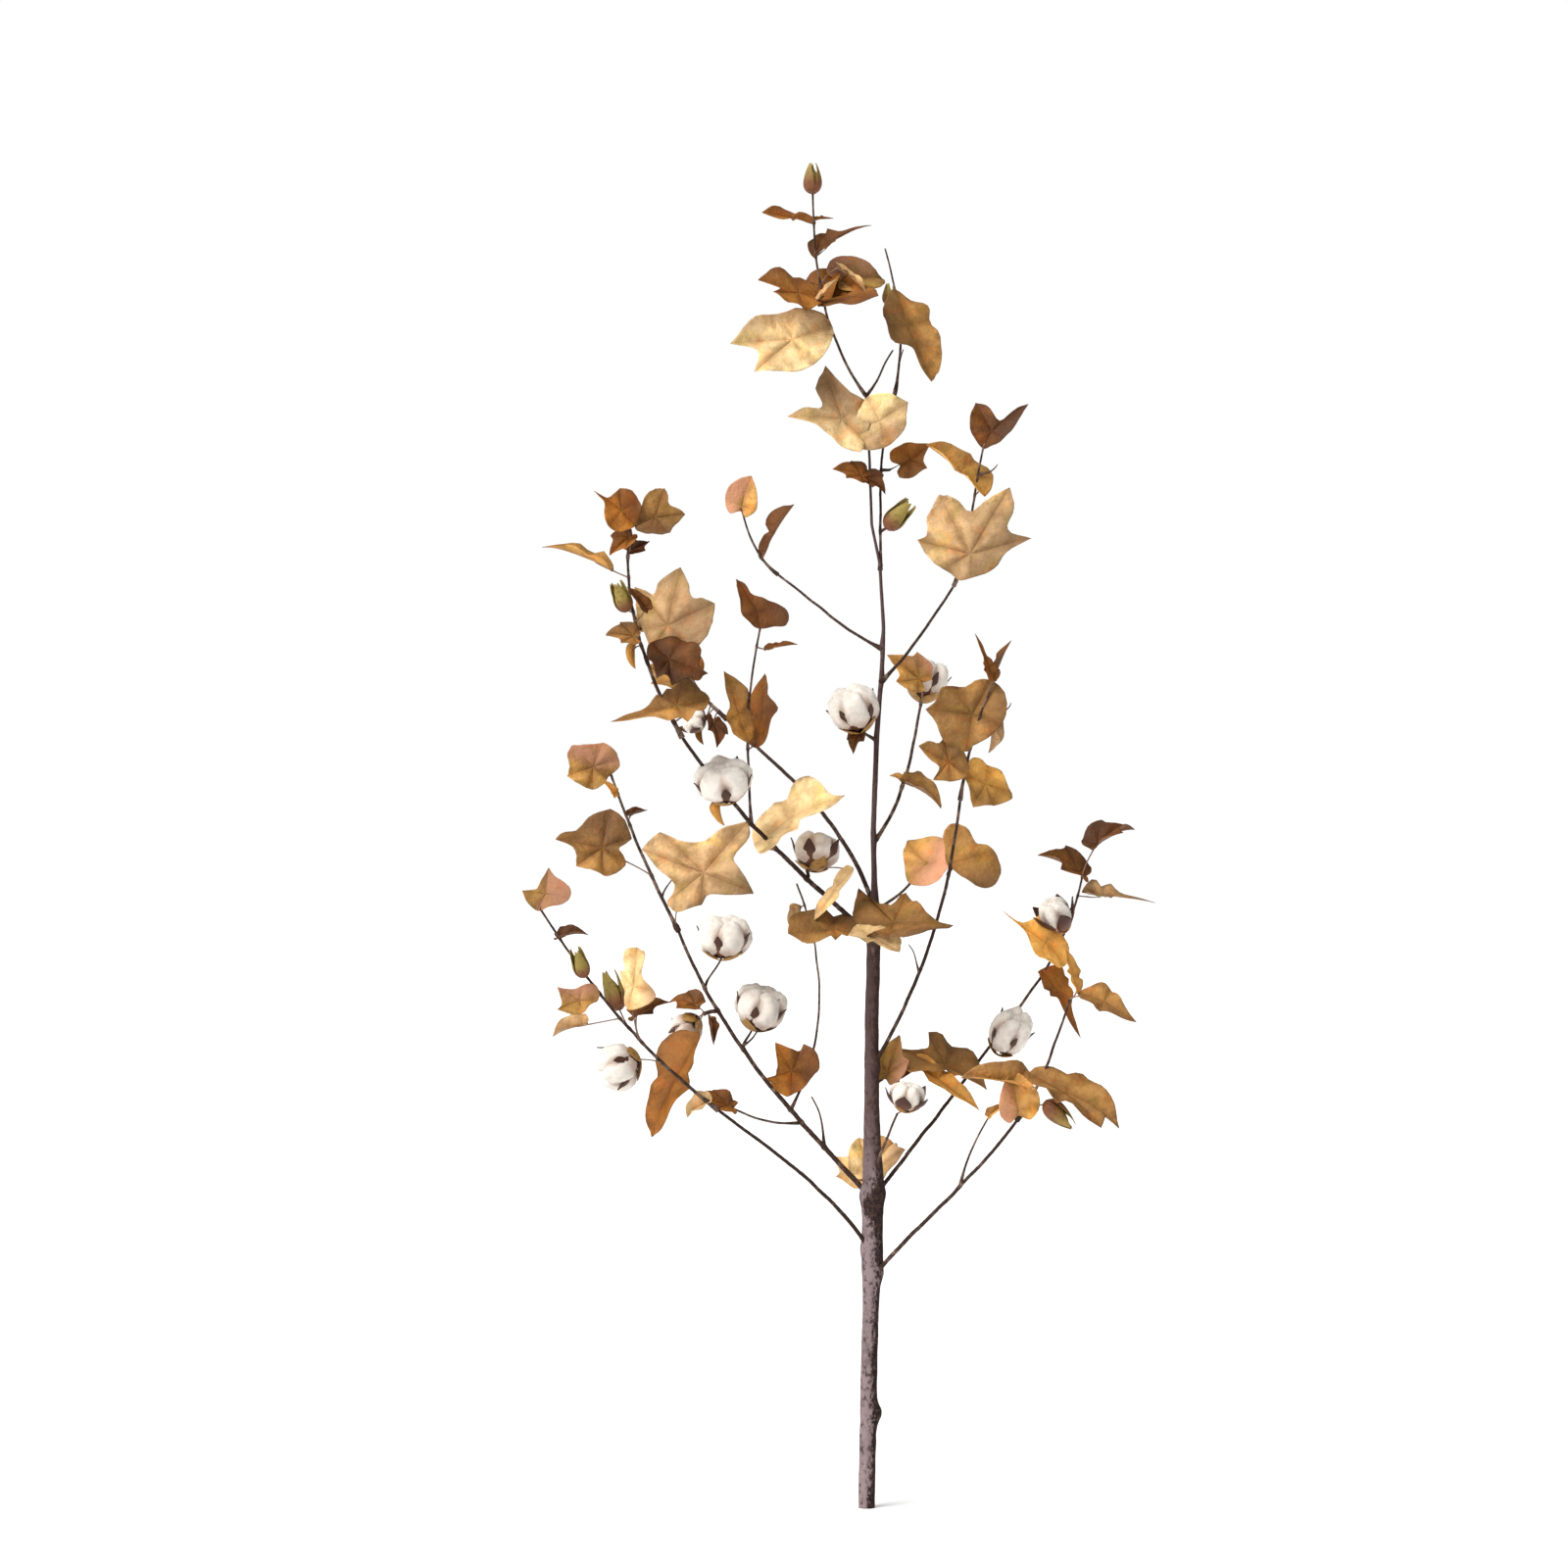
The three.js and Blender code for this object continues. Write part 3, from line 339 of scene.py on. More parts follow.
SPRAYS = {
    "spray_far_left": limb(
        "bough_low_left", 1, (-443, 813, -60), 142, 122, (2.5, 1.5),
        leaf(1, (-444, 818, 0), (-432, 873, 12), 15, "rosy", "round", own="shield", fade=-0.2),
        leaf(0.87, (-414, 775, -4), (-380, 793, -14), 62, "umber", "narrow"),
        bud(0.72, (-383, 722, -10), (-396, 760, -18), 22),
        leaf(0.62, (-372, 689, -8), (-421, 687, -14), 20, "rosy", own="forked", fade=0.1),
        leaf(0.5, (-381, 655, 18), (-432, 646, 20), 50, "tan", "narrow"),
        bud(0.45, (-336, 677, 6), (-352, 730, 10), 28),
        leaf(0.4, (-318, 686, -40), (-312, 760, -14), 16, "straw", own="tongued", fade=0.3),
        leaf(0.38, (-314, 668, -14), (-270, 692, -12), 50, "brown", fade=-0.2),
        boll(0.27, (-313, 609, -24), (-370, 585, -14), 62),
        leaf(0.06, (-212, 552, 8), (-254, 534, 26), 40, "straw", "narrow"),
    ),
    "spray_left_fork": limb(
        "bough_left_long", 0.73, (-222, 670, -14), 182, 194, (2, 1.8),
        leaf(0.9, (-229, 681, 8), (-270, 698, 14), 50, "brown"),
        boll(1, (-232, 662, 12), (-262, 632, 22), 46),
        leaf(1, (-238, 635, -16), (-302, 513, -34), 46, "brown", own="strap"),
        leaf(0.6, (-214, 662, -6), (-208, 628, -10), 55, "umber", "narrow"),
    ),
    "stub_left": limb("bough_left_long", 0.21, (-75, 558, -22), 96, 120, (1.8, 1.1)),
    "stalk_left_low": limb(
        "bough_left_long", 0.31, (-184, 543, -70), 184, 152, (1.8, 1.4),
        leaf(1, (-188, 546, -2), (-233, 569, -16), 62, "brown", fade=0.3),
    ),
    "twig_left_inner": limb(
        "bough_left_long", 0.36, (-95, 847, 66), 62, 112, (1.9, 1.3),
        leaf(0.1, (-100, 566, -10), (-117, 628, -22), 22, "brown", own="eared", fade=0.5),
        leaf(0.9, (-90, 814, 5), (-96, 768, 16), 60, "straw", "narrow"),
    ),
    "boll_left_low": limb(
        "bough_left_long", 0.59, (-154, 654, 12), 90, 80, (1.6, 1.4),
        boll(1, (-152, 656, 0), (-130, 714, -18), 70),
    ),
    "boll_left_mid": limb(
        "bough_left_long", 0.81, (-196, 749, -58), 76, 78, (1.6, 1.4),
        boll(1, (-195, 751, 0), (-188, 812, -14), 72),
    ),
    "spray_left_long": limb(
        "bough_left_long", 1, (-347, 995, 90), 118, 110, (2.7, 1.7),
        leaf(0.03, (-257, 817, -10), (-165, 931, -40), 12, "tan", "five", own="star"),
        leaf(0.36, (-328, 878, -10), (-421, 906, -20), 24, "khaki", "five", own="gloved", fade=0.2),
        leaf(0.68, (-322, 939, 6), (-298, 948, 8), 50, "umber", "narrow"),
        leaf(0.88, (-344, 967, -4), (-355, 990, -10), 40, "gold", "narrow"),
        leaf(1, (-352, 996, -2), (-409, 1013, -12), 14, "rosy", "round", own="plump"),
    ),
    "leaf_left_boat": limb(
        "bough_mid_left", 0.49, (-142, 893, -10), 210, 240, (1.8, 1.6),
        leaf(1, (-142, 896, -3), (-42, 985, -30), 58, "straw", own="boat", fade=0.4),
    ),
    "boll_left_high": limb(
        "bough_mid_left", 0.72, (-190, 962, -14), 250, 200, (1.8, 1.6),
        boll(1, (-192, 965, -4), (-202, 1021, -30), 74),
        leaf(0.8, (-199, 960, -6), (-202, 926, -12), 50, "gold", "narrow", fade=0.2),
    ),
    "boll_left_inner": limb(
        "bough_mid_left", 0.33, (-80, 866, 12), 20, 60, (1.8, 1.4),
        boll(1, (-71, 868, 4), (-65, 922, 14), 60, 1.3),
        leaf(0.9, (-21, 866, -24), (-74, 806, -22), 50, "straw", own="spoon"),
    ),
    "twig_mid_left": limb(
        "bough_mid_left", 0.61, (-144, 1195, -40), 94, 78, (1.9, 1.4),
        leaf(0.4, (-160, 1044, -4), (-177, 1128, -26), 46, "khaki", own="left_spear", fade=0.4),
        leaf(0.38, (-152, 1035, 4), (-149, 1138, 24), 50, "brown", own="right_spear", fade=0.2),
        leaf(1, (-145, 1200, -2), (-170, 1267, -10), 22, "umber", "round", own="booted", fade=0.3),
        leaf(0.9, (-136, 1164, 4), (-94, 1176, 8), 66, "brown", "narrow", own="sliver"),
    ),
    "spray_upper_left": limb(
        "bough_mid_left", 1, (-322, 1328, -60), 119, 84, (2.7, 1.6),
        leaf(0.08, (-222, 1097, -12), (-347, 1067, -36), 52, "khaki", own="wing", fade=0.4),
        leaf(0.38, (-288, 1168, -10), (-227, 1117, -30), 26, "umber", own="crumpled", fade=-0.1),
        leaf(0.4, (-284, 1170, 8), (-256, 1273, -28), 10, "tan", "five", own="crowned", fade=0.3),
        leaf(0.58, (-299, 1220, -16), (-321, 1251, -10), 20, "umber", "narrow"),
        leaf(0.5, (-314, 1181, -14), (-351, 1193, -16), 40, "khaki", fade=0.1),
        leaf(0.46, (-315, 1168, -4), (-319, 1140, -12), 40, "gold", "narrow"),
        boll(0.54, (-306, 1196, 22), (-288, 1224, 34), 34),
        bud(0.62, (-325, 1218, -4), (-341, 1258, -10), 24),
        leaf(0.78, (-348, 1273, 8), (-436, 1320, 30), 72, "gold", "narrow", own="sliver"),
        leaf(0.88, (-320, 1318, -6), (-350, 1296, -12), 25, "brown", fade=0.3),
        leaf(0.87, (-321, 1298, 6), (-295, 1311, 10), 34, "umber"),
        leaf(1, (-315, 1338, -6), (-363, 1380, -18), 20, "brown", own="spiked", fade=0.7),
        leaf(1, (-311, 1340, 6), (-247, 1350, -12), 20, "khaki", "round", own="paired", fade=-0.1),
    ),
    "spray_inner_left": limb(
        "bough_inner_left", 1, (-239, 1126, 40), 137, 124, (2.5, 1.6),
        boll(0.4, (-226, 1061, -16), (-246, 1077, -20), 34, 1.8),
        leaf(0.2, (-208, 1068, -12), (-198, 1034, -22), 50, "umber"),
        leaf(0.3, (-222, 1066, -4), (-230, 1036, -6), 50, "brown", "narrow"),
        leaf(1, (-241, 1129, 0), (-259, 1176, -12), 24, "brown"),
        leaf(0.9, (-242, 1118, 12), (-296, 1146, 42), 30, "khaki"),
    ),
    "spray_upper_left_tip": limb(
        "bough_upper_left", 1, (-170, 1356, 30), 144, 106, (1.9, 1.3),
        leaf(1, (-171, 1360, 0), (-160, 1405, -10), 20, "rosy", "round", fade=0.3),
        leaf(0.3, (-146, 1287, -3), (-111, 1361, -18), 60, "umber", "narrow", own="spoon"),
    ),
    "spray_upper_right": limb(
        "bough_upper_right", 1, (159, 1440, -30), 66, 76, (2.1, 1.4),
        leaf(0.06, (125, 1267, -8), (192, 1383, -40), 8, "tan", "five", own="palm"),
        leaf(0.66, (154, 1381, -2), (92, 1450, -14), 52, "gold", "narrow", own="ribbon", fade=0.2),
        leaf(1, (162, 1444, 0), (185, 1505, 16), 14, "umber", own="notched"),
    ),
    "spray_top": limb(
        "trunk", 1509, (-73, 1785, 0), 126, 91, (1.9, 1.3),
        leaf(0.36, (-57, 1608, -6), (-182, 1589, -46), 24, "straw", own="twin"),
        leaf(0.52, (-67, 1647, -4), (-145, 1675, -20), 54, "brown", "five", own="horned", fade=0.2),
        leaf(0.5, (-61, 1643, -3), (28, 1663, -26), 56, "brown", "five", own="bow", fade=0.1),
        leaf(0.58, (-36, 1664, 14), (26, 1680, 34), 36, "rosy", "round"),
        leaf(0.7, (-66, 1696, -2), (-4, 1752, -12), 62, "umber", "narrow", own="claw"),
        leaf(0.86, (-74, 1743, -2), (-141, 1757, -16), 52, "brown", "narrow", own="spoon", fade=0.2),
        leaf(0.87, (-69, 1742, 3), (-42, 1748, 10), 50, "brown", "narrow", own="sliver"),
        bud(1, (-73, 1787, 0), (-73, 1829, 0), 25, 0.2),
        leaf(0.54, (-66, 1640, 4), (-44, 1690, 6), 34, "brown", "round", fade=0.2),
        leaf(0.5, (-70, 1632, -22), (-42, 1668, -26), 70, "straw", "narrow", own="sliver"),
        leaf(0.56, (-40, 1684, -8), (6, 1650, -22), 72, "straw", "narrow", own="sliver"),
    ),
    "spray_top_right": limb(
        "bough_top_right", 1, (25, 1709, 12), 78, 106, (1.9, 1.2),
        leaf(0.7, (38, 1650, -8), (100, 1540, -26), 42, "khaki", own="pendant", fade=0.2),
        bud(0.6, (29, 1634, 4), (31, 1662, 8), 16),
        leaf(0.4, (50, 1580, 18), (72, 1612, 50), 20, "brown"),
    ),
    "leaves_top_bright": limb(
        "trunk", 1457, (-6, 1463, -22), 150, 120, (1.8, 1.6),
        leaf(1, (-9, 1464, -3), (-108, 1496, -24), 22, "straw", "five", own="mitten", fade=-0.1),
        leaf(0.9, (-1, 1465, -3), (60, 1498, -16), 8, "straw", "round", own="disc"),
    ),
    "leaves_top_brown": limb(
        "trunk", 1392, (-4, 1399, -16), 130, 120, (1.7, 1.5),
        leaf(1, (-7, 1401, -2), (-44, 1422, -10), 48, "brown"),
        leaf(0.8, (1, 1398, -4), (33, 1386, -14), 40, "umber"),
    ),
    "leaf_top_right": limb(
        "bough_top_right", 0.56, (33, 1409, -10), 10, 20, (1.5, 1.3),
        leaf(1, (37, 1411, -2), (92, 1442, -8), 20, "brown", own="cloven", fade=0.1),
    ),
    "bud_top_right": limb(
        "bough_top_right", 0.22, (28, 1330, -8), 20, 35, (1.5, 1.3),
        bud(1, (29, 1331, 0), (63, 1367, -10), 28),
    ),
    "spray_inner_right": limb(
        "trunk", 902, (75, 1098, 130), 52, 78, (2.6, 1.8),
        leaf(0.4, (51, 984, -6), (107, 962, -20), 58, "khaki", "narrow"),
        leaf(0.42, (47, 987, 2), (32, 998, 12), 50, "gold", "narrow"),
        boll(1, (78, 1103, 2), (96, 1162, 10), 56),
        leaf(0.96, (74, 1122, -28), (33, 1158, -26), 12, "rosy", fade=0.3),
    ),
    "boll_centre": limb(
        "trunk", 1040, (-8, 1058, -26), 130, 120, (2, 1.7),
        boll(1, (-11, 1061, -3), (-33, 1122, -22), 67),
        leaf(0.8, (-8, 1056, -6), (-22, 1026, -12), 48, "umber"),
    ),
    "spray_mid_right": limb(
        "bough_mid_right", 1, (175, 1126, -50), 82, 66, (2.3, 1.4),
        leaf(0.26, (130, 1002, -6), (74, 1036, -22), 22, "khaki", own="tulip", fade=0.2),
        leaf(0.2, (136, 994, 6), (205, 974, 22), 26, "gold", "round", own="hood", fade=0.1),
        leaf(0.42, (142, 1034, -4), (163, 1126, -30), 10, "khaki", "round", own="heart", fade=-0.2),
        leaf(0.7, (168, 1068, 12), (176, 1022, 24), 55, "tan", "narrow"),
        leaf(1, (174, 1128, -2), (150, 1187, -10), 24, "brown", "narrow", own="claw"),
        leaf(1, (178, 1128, 3), (193, 1182, 12), 74, "umber", "narrow", own="sliver"),
    ),
    "leaf_mid_right_stalked": limb(
        "trunk", 808, (60, 848, -26), 38, 50, (2.2, 1.6),
        leaf(1, (62, 853, -2), (90, 919, 18), 36, "rosy", "round", own="cornered", fade=0.6),
    ),
    "leaf_mid_right": limb(
        "bough_mid_right", 0.74, (116, 868, 14), 40, 40, (1.8, 1.5),
        leaf(1, (113, 868, 3), (187, 884, 12), 8, "khaki", "round", own="winged", fade=0.2),
    ),
    "leaves_fork_front": limb(
        "trunk", 736, (8, 776, -72), 90, 90, (2.4, 2),
        leaf(0.96, (4, 779, -6), (-103, 800, -30), 56, "khaki", "five", own="paddle"),
        leaf(1, (-10, 779, -10), (113, 801, -34), 62, "khaki", "five", own="ragged", fade=-0.2),
        leaf(0.8, (-16, 780, -36), (44, 764, -30), 52, "straw", own="strap", fade=-0.1),
    ),
    "leaves_low_back": limb(
        "trunk", 424, (0, 440, 58), 90, 90, (2.2, 1.8),
        leaf(1, (-6, 443, 4), (-43, 476, 22), 30, "straw", fade=0.4),
        leaf(1, (2, 446, 8), (37, 519, 46), 24, "straw", fade=0.2),
    ),
    "leaf_low_right": limb(
        "trunk", 572, (22, 582, 24), 40, 40, (2, 1.6),
        leaf(1, (27, 585, -6), (43, 641, -4), 22, "rosy"),
        leaf(1, (32, 592, 8), (70, 603, 8), 36, "brown", "round", fade=-0.1),
    ),
    "boll_low_right": limb(
        "trunk", 440, (42, 535, -56), 80, 68, (2.2, 1.5),
        boll(1, (51, 541, 0), (60, 582, -8), 46, 1.8),
    ),
    "leaves_right_long": limb(
        "bough_right_long", 0.78, (152, 592, -24), 340, 330, (1.8, 1.6),
        leaf(1, (152, 582, -5), (39, 634, -40), 64, "khaki", "five", own="banner"),
        leaf(0.9, (60, 606, -34), (156, 545, -30), 44, "gold", "narrow", own="sliver"),
    ),
    "spray_far_right": limb(
        "bough_right_long", 1, (293, 858, 90), 50, 78, (2.4, 1.4),
        boll(0.06, (182, 622, -40), (212, 675, -54), 54),
        leaf(0.38, (234, 724, -6), (298, 647, -22), 50, "brown", "narrow", own="claw", fade=0.3),
        leaf(0.56, (262, 752, -8), (195, 814, -24), 40, "gold", own="drop", fade=0.4),
        boll(0.72, (268, 786, -14), (244, 828, -26), 42, 2.4),
        leaf(0.88, (298, 829, 4), (389, 828, 14), 74, "tan", "narrow", own="claw", fade=-0.2),
        leaf(1, (292, 862, -2), (240, 903, -14), 62, "brown", fade=-0.1),
        leaf(1, (309, 896, 12), (358, 938, 14), 62, "umber", fade=0.1),
    ),
    "twig_low_right": limb(
        "bough_low_right", 0.6, (167, 532, -20), 80, 62, (1.7, 1.2),
        leaf(1, (166, 534, 0), (184, 552, -8), 40, "gold", "narrow"),
    ),
    "spray_low_right": limb(
        "bough_low_right", 1, (276, 690, -70), 58, 74, (2.5, 1.5),
        leaf(0.1, (206, 536, -8), (200, 588, -20), 14, "rosy", "round", fade=0.5),
        bud(0.05, (243, 549, -12), (282, 515, -16), 27, 0.2),
        leaf(0.34, (222, 584, -14), (350, 540, -44), 62, "khaki", own="sail"),
        leaf(1, (286, 699, 6), (275, 753, 14), 54, "gold", "narrow", own="left_spear", fade=0.3),
        leaf(1, (289, 695, -4), (361, 667, -18), 50, "khaki", own="left_spear", fade=0.1),
        leaf(0.12, (214, 570, -6), (134, 598, -24), 50, "khaki", "narrow", fade=0.4),
    ),
}

# Bare ends of twigs: what each grows on and where, as in the rows above.
TWIGLETS = (
    limb("trunk", 1508, (36, 1571, 2), 50, 58, (1.6, 1.2)),
    limb("bough_top_right", 0.92, (50, 1572, 8), 60, 70, (1.1, 0.8)),
    limb("spray_upper_right", 0.8, (178, 1416, -4), 10, 60, (1.2, 0.7)),
    limb("spray_left_long", 0.2, (-262, 868, 20), 120, 130, (1.2, 0.8)),
    limb("bough_left_long", 0.6, (-118, 690, -10), 30, 45, (1.2, 0.8)),
    limb("spray_mid_right", 0.75, (196, 1092, 24), 300, 80, (1.4, 0.7)),
    limb("bough_mid_right", 0.38, (57, 764, -30), 110, 130, (1.2, 0.8)),
)


def linear(code):
    """A colour's linear parts from its six hexadecimal digits."""
    parts = [((code >> shift) & 255) / 255 for shift in (16, 8, 0)]
    return tuple(p / 12.92 if p <= 0.04045 else ((p + 0.055) / 1.055) ** 2.4 for p in parts)


def length(name, description, default):
    return FloatProperty(
        name=name, description=description, default=default, min=0, subtype="DISTANCE", unit="LENGTH")


def share(name, description, default):
    return FloatProperty(name=name, description=description, default=default, min=0, max=1, subtype="FACTOR")


def colour(name, description, code):
    return FloatVectorProperty(
        name=name, description=description, default=linear(code), min=0, max=1, size=3, subtype="COLOR")


class CottonBranchSizes(bpy.types.PropertyGroup):
    """Sizes that change how fine or how rough the plant looks, in metres."""

    blade: length("Leaf thickness", "Thickness of one leaf", 0.0007)
    pleat: share("Pleats", "How far a leaf bulges between its main veins, by its length", 0.14)
    ruffle: share("Ruffle", "How far a leaf's rim waves, by its length", 0.035)
    bark: length("Bark relief", "Depth of the stem's bark", 0.0009)
    sides: IntProperty(name="Twig sides", description="Sides of a twig's round section", default=8, min=3)
    stalk: length("Leaf stalk", "Radius of a leaf's stalk", 0.00095)
    fibre: length("Fibre length", "Length of one loose cotton fibre", 0.006)
    fibre_gap: length("Fibre spacing", "Distance between neighbouring fibres", 0.0048)


class CottonBranchColours(bpy.types.PropertyGroup):
    """Colours of the leaves, bark, cotton, husks and buds."""

    straw: colour("Straw leaves", "The palest leaves", 0xE6BB8A)
    gold: colour("Gold leaves", "Warm yellow-brown leaves", 0xCB974C)
    tan: colour("Tan leaves", "Even light brown leaves", 0xC09C70)
    khaki: colour("Khaki leaves", "Greenish brown leaves", 0x976E3C)
    brown: colour("Brown leaves", "Darker leaves", 0x84531F)
    umber: colour("Umber leaves", "The darkest leaves", 0x643C18)
    rosy: colour("Rosy leaves", "Leaves with a pink flush", 0xA67D44)
    blush: colour("Flush", "The pink that spreads over part of a leaf", 0xC68C6E)
    bark: colour("Stem bark", "Pale patches of the stem", 0x837273)
    # The dark bark colour is also laid on the stem's side away from the lamp as painted shade.
    bark_dark: colour("Stem shadows", "Dark patches of the stem", 0x2E201D)
    twig: colour("Bough bark", "Dark bark of the boughs", 0x35231A)
    twig_pale: colour("Bough grey", "Grey of the boughs' smooth places", 0x80685A)
    stalk: colour("Leaf stalks", "Stalks of leaves and bolls", 0x8E7263)
    cotton: colour("Cotton", "The open locks", 0xEEE5D9)
    # The seam colour is painted shade between the locks and low on each lock, and also stands for brown
    # marks near the husks.
    seam: colour("Cotton seams", "Stained cotton near the husks and between the locks", 0xA98871)
    husk: colour("Husks", "Dry husks between the locks", 0x5E3420)
    cup: colour("Cups", "Golden cups under the bolls", 0xA57A3C)
    bud: colour("Buds", "Yellow-green points of the buds", 0x98843E)
    bud_brown: colour("Bud feet", "Red-brown lower part of the buds", 0x7A4A2B)


def sizes():
    return bpy.context.scene.cotton_branch_sizes


def tone(name):
    """The colour of that name, as a shader socket takes it."""
    return (*getattr(bpy.context.scene.cotton_branch_colours, name), 1)


# Growth, by the same rule as in the part's source


def heading(aim, lean):
    turn, back = math.radians(aim), math.radians(lean)
    return Vector((math.cos(back) * math.cos(turn), math.sin(back), math.cos(back) * math.sin(turn)))


def seen(place, depth):
    """The point at a depth that the eye sees at a place of the front view."""
    return Vector((place[0], 0, place[1])).lerp(SIGHT, depth / SIGHT.y)


def seeded(seed):
    """Numbers from 0 to 1 in a fixed order, the same as in the part's source."""
    state = seed
    while True:
        state = (state * 16807) % 2147483647
        yield state / 2147483647


def bezier(corners, count):
    """Points of the curve that these corners steer."""
    t = np.linspace(0, 1, count)[:, None]
    rows = [np.array(corner)[None, :] + 0 * t for corner in corners]
    while len(rows) > 1:
        rows = [a + (b - a) * t for a, b in zip(rows, rows[1:])]
    return rows[0]


class Track:
    """A limb's curve, read by the share of its length, with the radii at its two ends."""

    def __init__(self, points, wide):
        self.points = points
        self.along = np.concatenate(([0], np.cumsum(np.linalg.norm(np.diff(points, axis=0), axis=1))))
        self.length = self.along[-1]
        self.wide = wide

    def at(self, shares):
        reach = np.asarray(shares) * self.length
        return np.stack([np.interp(reach, self.along, self.points[:, i]) for i in range(3)], -1)


def stem_values(heights):
    """The stem's sideways lean and radius at those heights."""
    rows = np.array(TRUNK_PROFILE, float)
    return [np.interp(heights, rows[:, 0], rows[:, i]) for i in (1, 2)]


def point_on(tracks, name, at):
    """Where a limb's foot lies: at a height of the stem, or at a share of another limb."""
    if name == "trunk":
        return Vector((float(stem_values(at)[0]), 0, at))
    return Vector(tracks[name].at(at))


def grow_track(tracks, row):
    foot = point_on(tracks, row["on"], row["at"])
    end = seen(row["tip"], foot.y + row["tip"][2])
    chord = end - foot
    lean = math.degrees(math.asin(chord.y / chord.length))
    handle = chord.length * CURVE_HANDLE
    leave, arrive = heading(row["leave"], lean) * handle, heading(row["arrive"], lean) * handle
    return Track(bezier((foot, foot + leave, end - arrive, end), CURVE_POINTS), row["wide"])


def facing(along, tilt):
    """The way a blade's face looks: to the front, tipped towards the sky, and square to its length."""
    front = Vector((0, -1, 0))
    front = (front - along * front.dot(along)).normalized()
    upward = front.cross(along)
    if upward.z < 0:
        upward.negate()
    return front * math.cos(math.radians(tilt)) + upward * math.sin(math.radians(tilt))


def head_of(row, start, numbers, mark):
    """Where a leaf, boll or bud starts, with its direction, length and own turn of chance."""
    depth = start.y + row["base"][2]
    base = seen(row["base"], depth)
    along = seen(row["tip"], depth + row["tip"][2]) - base
    size = along.length
    along.normalize()
    stalk = (base - start).length
    if stalk < LEAST_STALK:
        base = start.copy()
    head = {**row, "start": start, "base": base - along * SINK, "along": along, "size": size + SINK,
            "stalk": stalk, "mark": mark}
    if row["make"] == "leaf":
        least, spread = FOLDS[row["shape"]]
        head["fold"] = math.radians(least + spread * next(numbers))
        head["bend"] = math.radians(BEND[0] + BEND[1] * next(numbers)) / head["size"]
        head["bend"] *= OWN_FOLD if row["own"] else 1
        head["sway"] = SWAY * (next(numbers) - 0.5)
        head["face"] = facing(along, row["tilt"])
        head["across"] = head["face"].cross(along)
    return head


def grow_plant():
    """Every limb's track by name, and every head with the name of its spray."""
    tracks, heads = {}, []
    for name, row in {**BOUGHS, **SPRAYS}.items():
        tracks[name] = grow_track(tracks, row)
    for number, (name, row) in enumerate(SPRAYS.items()):
        numbers = seeded(FIRST_SEED + number)
        for order, part in enumerate(row["parts"]):
            start = Vector(tracks[name].at(part["at"]))
            heads.append({**head_of(part, start, numbers, 100 * number + order), "spray": name})
    return tracks, heads


TRACKS, HEADS = grow_plant()


def heads_of(kind):
    return [head for head in HEADS if head["make"] == kind]


def sprays_of(heads):
    return sorted({head["spray"] for head in heads})


# Meshes


def add_object(name, data):
    made = bpy.data.objects.new(name, data)
    bpy.context.collection.objects.link(made)
    return made


class Pile:
    """Points, faces and point values of many small shapes, gathered into one mesh."""

    def __init__(self):
        self.points, self.faces, self.values, self.count = [], [], {}, 0

    def add(self, points, face_sets, **values):
        self.points.append(np.asarray(points, float).reshape(-1, 3))
        for faces in face_sets:
            self.faces.extend((np.asarray(faces) + self.count).tolist())
        for name, value in values.items():
            self.values.setdefault(name, []).append(np.asarray(value, float).reshape(-1, 3))
        self.count += len(self.points[-1])

    def build(self, name, material):
        """One object from millimetres, smooth, with each value as a point attribute."""
        data = bpy.data.meshes.new(name)
        data.from_pydata((np.concatenate(self.points) * MM).tolist(), [], self.faces)
        for label, parts in self.values.items():
            layer = data.attributes.new(label, "FLOAT_VECTOR", "POINT")
            layer.data.foreach_set("vector", np.concatenate(parts).ravel())
        data.shade_smooth()
        data.materials.append(material)
        return add_object(name, data)


def grid_faces(rows, columns, wrap):
    """Quads between the points of a grid, whose rows close on themselves where wrap is true."""
    row = np.arange(rows - 1)[:, None]
    column = np.arange(columns if wrap else columns - 1)[None, :]
    a = row * columns + column
    b = row * columns + (column + 1) % columns
    return np.stack([a, b, b + columns, a + columns], -1).reshape(-1, 4)


def capped_faces(rows, columns):
    """Faces of a grid that closes on itself, and fans to one more point below it and one above."""
    count = rows * columns
    foot = [(count, (i + 1) % columns, i) for i in range(columns)]
    tip = [(count + 1, count - columns + i, count - columns + (i + 1) % columns) for i in range(columns)]
    return grid_faces(rows, columns, True), foot, tip


def around(out, turn, height):
    """Points round an upright axis, from their distance, turn and height."""
    return np.stack(np.broadcast_arrays(out * np.cos(turn), out * np.sin(turn), height), -1)


def values_at(points, *parts):
    """Three values for each point, from arrays or single numbers."""
    return np.stack([np.broadcast_to(part, points.shape[:-1]) for part in parts], -1)


def led_by(first, rest):
    """Rows of three with one more row in front."""
    return np.concatenate([np.reshape(first, (1, 3)), rest.reshape(-1, 3)])


def hump(distance, tall):
    """1 at no distance, fading smoothly to nothing over about twice that length."""
    return np.exp(-((distance / tall) ** 2))


def plain(piece):
    """The piece's finished shape as a plain mesh under the same name, with no modifier left."""
    name = piece.name
    data = bpy.data.meshes.new_from_object(piece.evaluated_get(bpy.context.evaluated_depsgraph_get()))
    bpy.data.objects.remove(piece)
    made = add_object(name, data)
    data.name = name
    return made


def thicken(piece, thickness):
    """Gives a one-sided sheet its two faces and rim. The thickness is in metres."""
    wall = piece.modifiers.new("Thickness", "SOLIDIFY")
    wall.thickness = thickness
    wall.offset = 0
    return plain(piece)


def install(piece, nodes):
    """Seats a finished piece in the frame, for the nodes that it stands for."""
    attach(piece, "root")
    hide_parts(*nodes)


# Leaves


